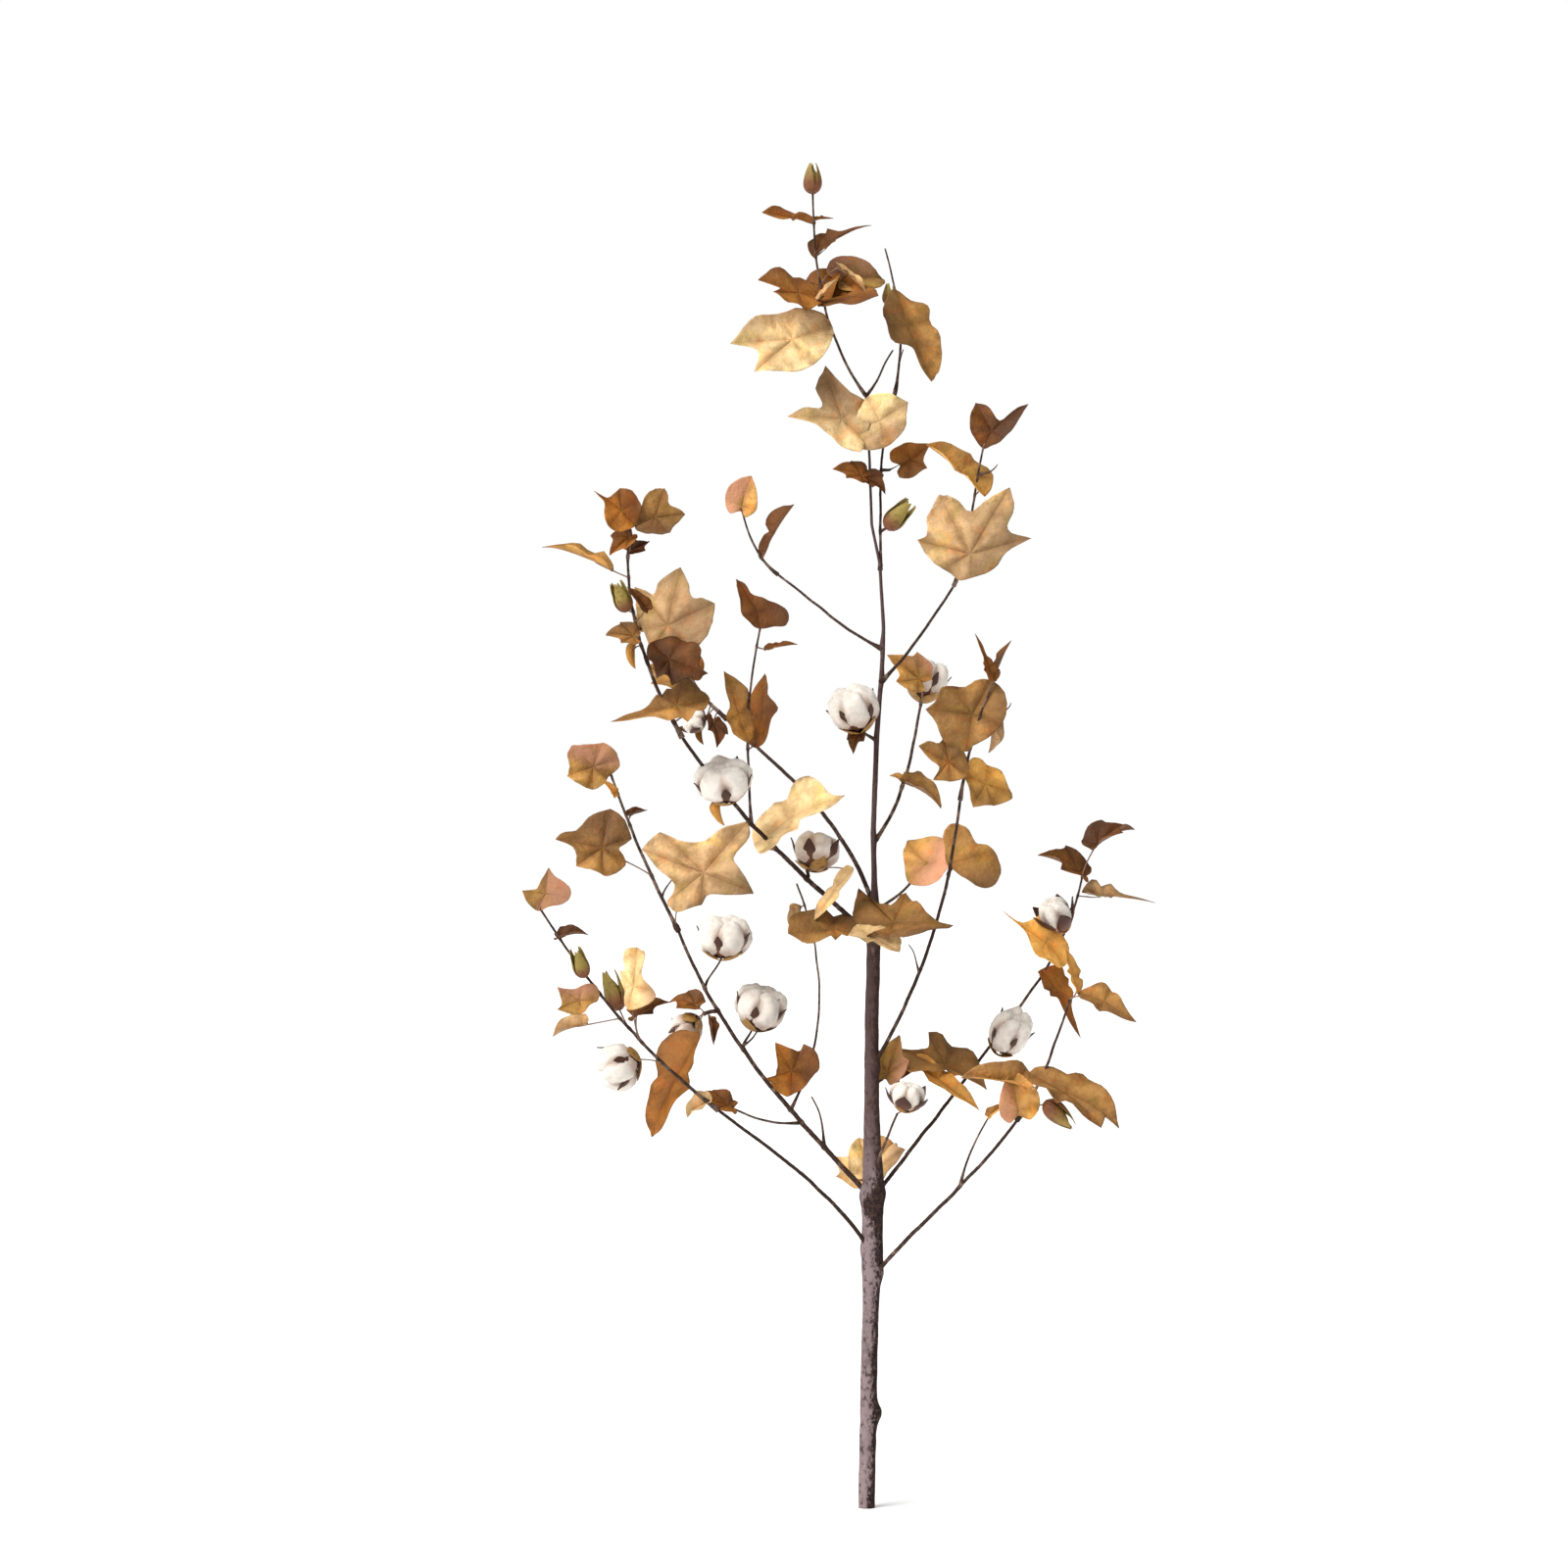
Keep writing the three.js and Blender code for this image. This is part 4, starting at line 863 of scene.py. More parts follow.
def hermite(a, b, leave, arrive, t):
    """The curve from a to b that leaves and arrives with those slopes."""
    return ((1 + 2 * t) * (1 - t) ** 2 * a + t * (1 - t) ** 2 * leave
            + t * t * (3 - 2 * t) * b + t * t * (t - 1) * arrive)


def mirrored(shape):
    """A plain outline in the form of OWN_OUTLINES, from its half."""
    whole = 100 * (1 - BLADE_CENTRE)
    half = []
    for angle, reach in HALVES[shape]:
        turn = math.radians(angle)
        spot = (reach * whole * math.sin(turn), 100 * BLADE_CENTRE + reach * whole * math.cos(turn))
        half.append((*spot, 1) if angle in TIPS[shape] else spot)
    return (0, 100 * BLADE_CENTRE), (*half[::-1], *((-row[0], *row[1:]) for row in half[1:-1]))


def fine_rim(rows):
    """Finely spaced points through the rows of an outline, cornered at its marks, smooth elsewhere."""
    points = np.array([row[:2] for row in rows]) / 100
    following = np.roll(points, -1, axis=0)
    chord = following - points
    span = np.linalg.norm(chord, axis=1)[:, None]
    way = chord / span
    through = (way + np.roll(way, 1, axis=0)) / 2
    marked = np.array([len(row) > 2 for row in rows])[:, None]
    leave = np.where(marked, way, through) * span
    arrive = np.roll(np.where(marked, np.roll(way, 1, axis=0), through), -1, axis=0) * span
    t = (np.arange(RIM_STEPS) / RIM_STEPS)[None, :, None]
    return hermite(*(part[:, None] for part in (points, following, leave, arrive)), t).reshape(-1, 2)


def off_veins(away, rows):
    """How far each point of the rim lies between two main veins (0 to 1), and its angle to the nearer."""
    turns = -np.unwrap(np.arctan2(away[:, 0], away[:, 1]))
    marked = [turns[RIM_STEPS * i] for i, row in enumerate(rows) if len(row) > 2]
    veins = [turns[0], *marked, turns[0] + 2 * math.pi]
    wide = [(a + b) / 2 for a, b in zip(veins, veins[1:]) if b - a > WIDEST_GAP]
    veins = np.array(sorted(veins + wide))
    place = np.clip(np.searchsorted(veins, turns, side="right"), 1, len(veins) - 1)
    low, high = veins[place - 1], veins[place]
    part = np.clip((turns - low) / (high - low), 0, 1)
    return 1 - np.abs(2 * part - 1), np.minimum(part, 1 - part) * (high - low)


def blade_points(head, u, v, high):
    """Bends the flat blade: u runs along it, v across it, and high stands off its face."""
    bend = head["bend"]
    along = np.sin(bend * u) / bend + high * np.sin(bend * u)
    off = high * np.cos(bend * u) - (1 - np.cos(bend * u)) / bend
    directions = [np.array(head[key]) for key in ("across", "along", "face")]
    moves = [part[..., None] * way for part, way in zip((v, along, off), directions)]
    return np.array(head["base"]) + sum(moves)


def outline(head):
    """Where a blade's veins meet, its rim from there, and how far off the veins the rim's points are."""
    middle, rows = OWN_OUTLINES[head["own"]] if head["own"] else mirrored(head["shape"])
    middle = np.array(middle) / 100
    away = fine_rim(rows) - middle
    if not head["own"]:
        away = away * (1 + head["sway"] * np.sign(away[:, :1]))
    return middle, away, *off_veins(away, rows)


def relief(away, ring, reach, between, chance):
    """How far a blade bulges between its veins, waves at its rim and lifts outwards, by its length."""
    pleat = sizes().pleat * np.sin(between * math.pi / 2) * reach**0.8
    turn = np.arctan2(away[:, 0], away[:, 1])
    ruffle = sizes().ruffle * ring**3 * np.sin(chance.randint(4, 8) * turn + chance.uniform(0, 6))
    lift = chance.uniform(*LIFT) * np.clip(reach - 0.35, 0, 1) ** 2 * 2
    return pleat + ruffle + lift


def add_leaf(pile, head):
    """A leaf, folded on its midrib and curled, with the values by which its material is coloured and given
    painted shade.
    """
    chance = np.random.RandomState(head["mark"])
    middle, away, between, angle = outline(head)
    size, own, fade = head["size"], head["own"], head["fade"]
    fold = head["fold"] * (OWN_FOLD if own else 1)
    spread = 1 / max(math.cos(math.radians(head["tilt"])), LEAST_COSINE) if own else 1
    ring = np.array(RINGS)[:, None]
    wander = 1 + RIM_WANDER * chance.uniform(-1, 1, len(away))
    reach = ring * np.linalg.norm(away, axis=1) * size * wander
    flat = size * (middle[0] + ring * away[:, 0] * wander) * spread
    u = size * (middle[1] + ring * away[:, 1] * wander)
    high = np.abs(flat) * math.sin(fold) + size * relief(away, ring, reach / size, between, chance)
    high = high + chance.uniform(-TWIST, TWIST) * flat * (u / size)
    points = blade_points(head, u, flat * math.cos(fold), high)
    spot = size * middle * (spread, 1)
    centre = blade_points(head, spot[1:], spot[:1], np.abs(spot[:1]) * math.sin(fold))
    spokes = len(away)
    fan = [(0, 1 + (i + 1) % spokes, 1 + i) for i in range(spokes)]
    # Painted shade: one half of the blade is darker than the other, partly the leaf's own two-tone colour;
    # side says which half.
    side = -1 if own else chance.choice((-1, 1))
    flush = side * flat / size * ACROSS["flush"] + chance.uniform(-0.3, 0.3)
    shade = np.clip(chance.uniform(*SHADE) + side * flat / size * ACROSS["shade"], 0, 1)
    place = values_at(points, reach, reach * np.sin(angle), fade)
    mood = values_at(points, flush, shade, ring)
    pile.add(led_by(centre, points), (fan, grid_faces(len(RINGS), spokes, True) + 1),
             place=led_by((0, 0, fade), place), mood=led_by((-1, shade[0, 0], 0), mood))


def make_leaves(tint):
    pile = Pile()
    heads = [head for head in heads_of("leaf") if head["tint"] == tint]
    for head in heads:
        add_leaf(pile, head)
    piece = thicken(pile.build("leaves_" + tint, leaf_material(tint)), sizes().blade)
    install(piece, sprays_of(heads))


# Node trees


class Nodes:
    """A node tree under construction, with short calls for its nodes."""

    def __init__(self, tree):
        self.tree = tree

    def node(self, kind, links=(), **settings):
        """Adds a node, sets its properties, and links or fills the inputs named in links."""
        made = self.tree.nodes.new(kind)
        for key, value in settings.items():
            setattr(made, key, value)
        for key, value in dict(links).items():
            if isinstance(value, bpy.types.NodeSocket):
                self.tree.links.new(value, made.inputs[key])
            else:
                made.inputs[key].default_value = value
        return made

    def out(self, kind, links=(), output=0, **settings):
        """Adds a node in the same way, and returns one of its outputs."""
        return self.node(kind, links, **settings).outputs[output]

    def math(self, operation, a, b=0):
        return self.out("ShaderNodeMath", {0: a, 1: b}, operation=operation)

    def times(self, a, b):
        return self.math("MULTIPLY", a, b)

    def plus(self, a, b):
        return self.math("ADD", a, b)


class Tree(Nodes):
    """A Geometry Nodes tree, which keeps the identifiers of its named inputs."""

    def __init__(self, name, **inputs):
        super().__init__(bpy.data.node_groups.new(name, "GeometryNodeTree"))
        face = self.tree.interface
        face.new_socket("Geometry", in_out="INPUT", socket_type="NodeSocketGeometry")
        face.new_socket("Geometry", in_out="OUTPUT", socket_type="NodeSocketGeometry")
        self.inputs = {
            label: face.new_socket(label, in_out="INPUT", socket_type="NodeSocket" + kind).identifier
            for label, kind in inputs.items()}
        self.entry = self.tree.nodes.new("NodeGroupInput")

    def given(self, label):
        return self.entry.outputs[label]

    def close(self, geometry):
        """Ends the tree in Realize Instances and Set Material."""
        real = self.out("GeometryNodeRealizeInstances", {"Geometry": geometry})
        painted = self.out("GeometryNodeSetMaterial", {"Geometry": real, "Material": self.given("Material")})
        self.node("NodeGroupOutput", {0: painted})

    def apply(self, piece, **values):
        """Runs the tree on a piece with these inputs, and returns the plain result."""
        modifier = piece.modifiers.new(self.tree.name, "NODES")
        modifier.node_group = self.tree
        for label, value in values.items():
            modifier[self.inputs[label]] = value
        return plain(piece)


def sweep_tree():
    """Sweeps a round section along each line by its own radius, with a rough skin."""
    tree = Tree("Swept limb", Sides="Int", Relief="Float", Grain="Float", Material="Material")
    radius = tree.out("GeometryNodeInputNamedAttribute", {"Name": "limb_radius"}, data_type="FLOAT")
    line = tree.out("GeometryNodeMeshToCurve", {"Mesh": tree.given("Geometry")})
    ring = tree.out("GeometryNodeCurvePrimitiveCircle", {"Resolution": tree.given("Sides"), "Radius": 1})
    skin = tree.out("GeometryNodeCurveToMesh", {
        "Curve": line, "Profile Curve": ring, "Scale": radius, "Fill Caps": True})
    place = tree.out("GeometryNodeInputPosition")
    rough = tree.out("ShaderNodeTexNoise", {
        "Vector": place, "Scale": tree.given("Grain"), "Detail": 3, "Roughness": 0.6}, "Fac")
    depth = tree.times(radius, tree.given("Relief"))
    push = tree.times(tree.math("SUBTRACT", rough, 0.5), depth)
    normal = tree.out("GeometryNodeInputNormal")
    offset = tree.out("ShaderNodeVectorMath", {0: normal, "Scale": push}, operation="SCALE")
    moved = tree.out("GeometryNodeSetPosition", {"Geometry": skin, "Offset": offset})
    tree.close(tree.out("GeometryNodeSetShadeSmooth", {"Geometry": moved}))
    return tree


def fibre_tree():
    """Scatters curved fibres over the cotton, each lying along it."""
    tree = Tree("Cotton fibres", Fibre="Object", Spacing="Float", Seed="Int", Material="Material")
    spots = tree.node("GeometryNodeDistributePointsOnFaces", {
        "Mesh": tree.given("Geometry"), "Distance Min": tree.given("Spacing"), "Density Max": MOST_FIBRES,
        "Seed": tree.given("Seed")}, distribute_method="POISSON")
    shape = tree.out("GeometryNodeObjectInfo", {"Object": tree.given("Fibre")}, "Geometry",
                     transform_space="ORIGINAL")
    spin = tree.out("FunctionNodeRandomValue", {2: 0, 3: 6.28}, 1, data_type="FLOAT")
    turn = tree.out("FunctionNodeAxisAngleToRotation", {"Axis": (0, 0, 1), "Angle": spin})
    joined = tree.out("FunctionNodeRotateRotation", {
        "Rotation": spots.outputs["Rotation"], "Rotate By": turn}, rotation_space="LOCAL")
    least, greatest = FIBRE_SCALES
    size = tree.out("FunctionNodeRandomValue", {2: least, 3: greatest, "Seed": FIBRE_SEEDS["scale"]}, 1,
                    data_type="FLOAT")
    tree.close(tree.out("GeometryNodeInstanceOnPoints", {
        "Points": spots.outputs["Points"], "Instance": shape, "Rotation": joined, "Scale": size}))
    return tree


# Limbs


def wire(name, lines):
    """An object of bare lines, each a row of points and their radii, for the sweep to dress."""
    points = np.concatenate([line for line, _ in lines]) * MM
    edges, first = [], 0
    for line, _ in lines:
        edges += [(first + i, first + i + 1) for i in range(len(line) - 1)]
        first += len(line)
    data = bpy.data.meshes.new(name)
    data.from_pydata(points.tolist(), edges, [])
    layer = data.attributes.new("limb_radius", "FLOAT", "POINT")
    layer.data.foreach_set("value", np.concatenate([radii for _, radii in lines]) * MM)
    return add_object(name, data)


def swept(name, lines, skin, material):
    """The lines as round limbs with a skin of those sides, relief and grain."""
    sides, relief, grain = skin
    return sweep_tree().apply(
        wire(name, lines), Sides=sides, Relief=relief, Grain=grain, Material=material)


def crooked(points, seed):
    """Moves a line's points a little aside, but not its ends."""
    ease = np.sin(np.linspace(0, math.pi, len(points)))[:, None]
    noise.seed_set(NOISE_SEED)
    aside = [noise.noise_vector(Vector(p) * 0.03 + Vector((seed, 0, 0))) for p in points]
    return points + np.array(aside) * CROOKED * ease


def limb_line(track, marks, flare, seed):
    """A limb's points and radii: thicker where something grows from it, with a flared foot."""
    shares = np.linspace(0, 1, max(4, round(track.length / LINE_STEP)) + 1)
    reach = shares * track.length
    radii = np.interp(shares, (0, 1), track.wide)
    for mark in marks:
        collar = hump(reach - mark * track.length, LIMB_COLLAR["tall"])
        radii = radii + LIMB_COLLAR["stands"] * track.wide[1] * collar
    radii = radii + flare * track.wide[0] * hump(reach, FLARE_TALL)
    radii[-1] *= TIP_SHARE
    return crooked(track.at(shares), seed), radii


def marks_on(name):
    """The shares of a limb's length at which sprays and heads grow from it."""
    marks = [row["at"] for row in SPRAYS.values() if row["on"] == name and row["at"] < 1]
    return marks + [part["at"] for part in SPRAYS[name]["parts"]] if name in SPRAYS else marks


def make_boughs():
    lines = [limb_line(TRACKS[name], marks_on(name), BOUGH_FLARE, seed) for seed, name in enumerate(BOUGHS)]
    lines = [(points, radii * SLIM) for points, radii in lines]
    bark = limb_material("bough_bark", tone("twig"), tone("twig_pale"), 0.5, 0.75)
    install(swept("boughs", lines, BOUGH_SKIN, bark), BOUGHS)


def make_twigs():
    lines = [
        limb_line(TRACKS[name], marks_on(name), TWIG_FLARE, seed)
        for seed, name in enumerate(SPRAYS, TWIG_SEED)]
    lines += [
        limb_line(grow_track(TRACKS, row), [], TWIG_FLARE, seed)
        for seed, row in enumerate(TWIGLETS, TWIGLET_SEED)]
    bark = limb_material("twig_bark", tone("twig"), tone("twig_pale"), 0.42, 0.7)
    install(swept("twigs", lines, (sizes().sides, *TWIG_RELIEF), bark), SPRAYS)


def stalk_line(head):
    """A stalk from its stem into the head, and on under a leaf as far as its veins' meeting place."""
    along, stalk = head["along"], head["stalk"]
    inside = head["base"] + along * SINK * 2
    middle = head["start"].lerp(head["base"], STALK_BEND[0]) - along * stalk * STALK_BEND[1]
    corners = (head["start"], middle, inside) if stalk >= LEAST_STALK else (head["start"], inside)
    points = bezier(corners, max(4, round(stalk / LINE_STEP)))
    radius = sizes().stalk / MM
    part = np.linspace(0, 1, len(points))
    radii = radius * (1 + STALK_ENDS[0] * np.exp(-6 * part) + STALK_ENDS[1] * part**4)
    if head["make"] == "leaf":
        reach = np.linspace(0.06, BLADE_CENTRE + 0.1, UNDER_STEPS) * head["size"] + SINK
        under = blade_points(head, reach, np.zeros(UNDER_STEPS), np.full(UNDER_STEPS, -0.5))
        points = np.concatenate([points, under])
        radii = np.concatenate([radii, radius * np.linspace(1, 0.45, UNDER_STEPS)])
    return points, radii


def make_stalks():
    lines = [stalk_line(head) for head in HEADS]
    bark = limb_material("stalk", shaded(tone("stalk"), 0.7), tone("stalk"), 0.36, 0.6)
    install(swept("stalks", lines, STALK_SKIN, bark), sprays_of(HEADS))


def bough_swelling(height, turns):
    """How far the stem stands out at a height, at each turn, where limbs leave it."""
    out = 0
    for name, row in {**BOUGHS, **SPRAYS}.items():
        if row["on"] == "trunk" and row["at"] <= SWELLING_TOP:
            away = TRACKS[name].at(0.12) - TRACKS[name].at(0)
            side = np.clip(np.cos(turns - math.atan2(away[1], away[0])), 0, 1) ** 2
            collar = hump(height - row["at"] - STEM_COLLAR["above"], STEM_COLLAR["tall"])
            out = out + row["wide"][0] * STEM_COLLAR["stands"] * collar * side
    return out


def bark_depth(point, radius):
    """The bark's relief at a point: long ridges, lumps and fine grain, from -1 to 1."""
    ridge = noise.fractal(Vector((point.x * 0.22, point.y * 0.22, point.z * 0.03)), 0.9, 2.1, 4)
    lump = noise.noise(point * 0.055)
    grain = noise.noise(Vector((point.x * 0.9, point.y * 0.9, point.z * 0.45)))
    return 0.5 * ridge + 0.55 * lump + 0.3 * grain * min(1, radius / 8)


def stem_ring(height, aside, wide, turns):
    """One ring of the stem, and how near it is to the side with painted shade, how high (in metres) and how
    near the node it is.
    """
    knot = KNOT["stands"] * hump(height - KNOT["height"], KNOT["tall"]) * np.clip(np.cos(turns), 0, 1) ** 3
    out = wide + bough_swelling(height, turns) + knot
    ring = around(out, turns, height) + (aside, 0, 0)
    rough = np.array([bark_depth(Vector(point), wide) for point in ring])[:, None]
    ring = ring + around(1, turns, 0) * rough * sizes().bark / MM * min(1, wide / 7)
    node = hump(height - NODE["height"], NODE["tall"])
    return ring, values_at(ring, np.cos(turns - SHADE_SIDE_TURN), height * MM, node)


def make_trunk():
    top = TRUNK_PROFILE[-1][0]
    heights = np.linspace(0, top, round(top / RING_STEP) + 1)
    lean, radius = stem_values(heights)
    radius = radius * np.interp(heights, SLIM_FROM, (1, SLIM))
    near = 2 * SOFT_RINGS + 1
    soft = np.convolve(np.pad(radius, SOFT_RINGS, mode="edge"), np.ones(near) / near, mode="valid")
    turns = np.linspace(0, 2 * math.pi, STEM_SIDES, endpoint=False)
    rings = [stem_ring(*ring, turns) for ring in zip(heights, lean, soft)]
    centres = [(lean[0], 0, 0), (lean[-1], 0, top + 0.4)]
    ends = [(0, 0, 0), (0, top * MM, 0)]
    pile = Pile()
    pile.add(
        np.concatenate([*(points for points, _ in rings), centres]), capped_faces(len(rings), STEM_SIDES),
        place=np.concatenate([*(values for _, values in rings), ends]))
    install(pile.build("trunk_bark", trunk_material()), ["trunk"])


# Bolls and buds


def put(head, points):
    """Turns points from a boll's or bud's own axes, and moves them to its place."""
    turn = Quaternion((0, 0, 1), head["mark"] * 1.7)
    axes = np.array((head["along"].to_track_quat("Z", "Y") @ turn).to_matrix())
    return np.array(head["base"]) + points @ axes.T


def ball(columns, rows):
    """Directions over a ball, row by row from foot to top and then its two poles, and its faces."""
    reach = math.pi / 2 - POLE_GAP
    up = np.linspace(-reach, reach, rows)[:, None]
    turn = np.linspace(0, 2 * math.pi, columns, endpoint=False)
    directions = around(np.cos(up), turn, np.sin(up)).reshape(-1, 3)
    return np.concatenate([directions, [(0, 0, -1), (0, 0, 1)]]), capped_faces(rows, columns)


def sheet_grid(rows, columns, low=0):
    """Shares of a small sheet: up it from its foot, and across it from edge to edge."""
    return np.linspace(low, 1, rows)[:, None], np.linspace(-1, 1, columns)


def lock_points(directions, head, number):
    """One fluffy lock of cotton beside the boll's middle, and how near its points are to the seams and how
    low they lie on it, where the material lays painted shade.
    """
    wide, tall = head["wide"], head["size"] - SINK
    turn = 2 * math.pi * number / LOCKS
    apart = Vector((head["mark"], number * 3.1, 0))
    samples = [Vector(way) * 1.3 + apart for way in directions]
    fluff = [1 + sum(high * noise.noise(sample * fine) for fine, high in FLUFF) for sample in samples]
    centre = around(wide * LOCK["out"], turn, tall * LOCK["high"])
    size = (wide * LOCK["wide"], wide * LOCK["wide"], tall * LOCK["tall"])
    points = centre + directions * size * np.array(fluff)[:, None]
    sideways = np.abs(directions @ (-math.sin(turn), math.cos(turn), 0))
    return points, values_at(points, sideways, -directions[:, 2], 0)


def make_cotton():
    """The locks of every boll, round one more ball of cotton in its middle."""
    pile = Pile()
    directions, faces = ball(*LOCK_GRID)
    heads = heads_of("boll")
    for head in heads:
        for number in range(LOCKS):
            points, seams = lock_points(directions, head, number)
            pile.add(put(head, points), faces, place=seams)
        wide, tall = head["wide"] * MIDDLE["wide"], head["size"] * MIDDLE["tall"]
        middle = directions * (wide, wide, tall) + (0, 0, (head["size"] - SINK) * MIDDLE["high"])
        pile.add(put(head, middle), faces, place=0 * middle)
    piece = pile.build("cotton_locks", cotton_material())
    install(piece, sprays_of(heads))
    return piece


def make_fibres(locks):
    """Loose fibres over the locks, from a tree that scatters one small curved strand."""
    reach = sizes().fibre / MM
    fluff = fibre_material()
    bent = ((0, 0, -0.2), (reach * 0.3, 0, 1.1), (reach * 0.8, reach * 0.3, 1.4), (reach, reach * 0.1, 0.4))
    line = bezier(bent, FIBRE_POINTS), np.linspace(*FIBRE_RADII, FIBRE_POINTS)
    strand = swept("fibre", [line], FIBRE_SKIN, fluff)
    copy = add_object("cotton_fibres", locks.data.copy())
    made = fibre_tree().apply(
        copy, Fibre=strand, Spacing=sizes().fibre_gap, Seed=FIBRE_SEEDS["place"], Material=fluff)
    bpy.data.objects.remove(strand)
    install(made, sprays_of(heads_of("boll")))


def husk_points(head, number):
    """One narrow pointed husk in the seam between two locks, its point bent outwards."""
    wide, tall, cover = head["wide"], head["size"] - SINK, head["cover"]
    up, side = sheet_grid(HUSK_ROWS, HUSK_COLUMNS)
    reach = np.random.RandomState(head["mark"] * 7 + number).uniform(0.56, 0.78) * (0.85 + 0.15 * cover)
    spread = min(0.4 * cover, 0.75) * (1 - up**1.7) * (1 - 0.3 * (1 - up) ** 3) + 0.02
    out = wide * (0.1 + 0.37 * np.sin(np.clip(up * 1.35, 0, 1) * math.pi / 2) + 0.1 * up**4)
    out = out * (1 - 0.05 * side**2 + 0.3 * (cover - 1)) - wide * 0.025 * (1 - np.abs(side)) * up
    turn = 2 * math.pi * (number + 0.5) / LOCKS + side * spread
    return around(out, turn, tall * reach * up * 0.95 + side**2 * 0.3), up


def cup_points(head, number):
    """One short pointed leaf of the cup that holds a boll, spread outwards at its point."""
    wide, tall = head["wide"], head["size"] - SINK
    up, side = sheet_grid(HUSK_ROWS, HUSK_COLUMNS)
    reach = np.random.RandomState(head["mark"] * 5 + number).uniform(0.2, 0.36)
    spread = 1.15 * (1 - up**1.3) + 0.02
    turn = 2 * math.pi * number / CUP_LEAVES + head["mark"] + side * spread
    return around(wide * (0.09 + 0.36 * up**0.8), turn, tall * (reach * up**1.3 - 0.04)), up


def make_husks():
    """The husks between the locks, and under them the leaves of the cup."""
    pile = Pile()
    faces = grid_faces(HUSK_ROWS, HUSK_COLUMNS, False)
    heads = heads_of("boll")
    for head in heads:
        for shape, count, golden in ((husk_points, LOCKS, 0), (cup_points, CUP_LEAVES, 1)):
            for number in range(count):
                points, up = shape(head, number)
                pile.add(put(head, points), (faces,), place=values_at(points, up, golden, up))
    piece = thicken(pile.build("husks", husk_material()), HUSK_WALL * MM)
    install(piece, sprays_of(heads))


def bud_profile(up):
    """The bud's radius by the share of its height: a full foot and a narrow neck under its points."""
    return np.sin(np.clip(up, 0, 1) ** 0.72 * math.pi) ** 0.75 * (1 - 0.25 * up)


def core_points(directions, head):
    """The closed core of a bud, and how high its points lie."""
    up = (directions[:, 2] + 1) / 2
    turn = np.arctan2(directions[:, 1], directions[:, 0])
    out = bud_profile(up) * head["wide"] * CORE["wide"]
    return around(out, turn, up * (head["size"] - SINK) * CORE["tall"]), up


def bract_points(head, number):
    """One leafy bract round a bud, its upper edge cut into teeth, and how high its points lie."""
    up, side = sheet_grid(BRACT_ROWS, BRACT_COLUMNS, 0.02)
    teeth = 0.2 * np.abs(((side * 2) % 2) - 1)
    rise = up * (1.14 - 0.36 * np.abs(side) ** 1.4 - teeth)
    out = bud_profile(np.clip(rise * 0.92, 0, 1)) * (1.02 + 0.08 * (number == 0)) + 0.06
    out = head["wide"] / 2 * (out + head["open"] * np.clip(rise - 0.6, 0, 1))
    turn = 2 * math.pi * number / BRACTS + side * 1.15 * (1 - 0.4 * rise)
    return around(out, turn, (head["size"] - SINK) * rise), rise


def make_buds():
    """A closed core and leafy bracts for every bud, greener the more it is open."""
    cores, bracts = Pile(), Pile()
    directions, faces = ball(*BUD_GRID)
    sheet = grid_faces(BRACT_ROWS, BRACT_COLUMNS, False)
    heads = heads_of("bud")
    for head in heads:
        points, up = core_points(directions, head)
        cores.add(put(head, points), faces, place=values_at(points, up, up, up))
        for number in range(BRACTS):
            points, rise = bract_points(head, number)
            green = rise * (0.5 + 0.5 * head["open"])
            bracts.add(put(head, points), (sheet,), place=values_at(points, green, rise, rise))
    material = bud_material()
    install(cores.build("bud_cores", material), sprays_of(heads))
    install(thicken(bracts.build("bud_bracts", material), BRACT_WALL * MM), sprays_of(heads))


# Materials. A noise is finer the greater its scale, and the depth of a bump is in metres.


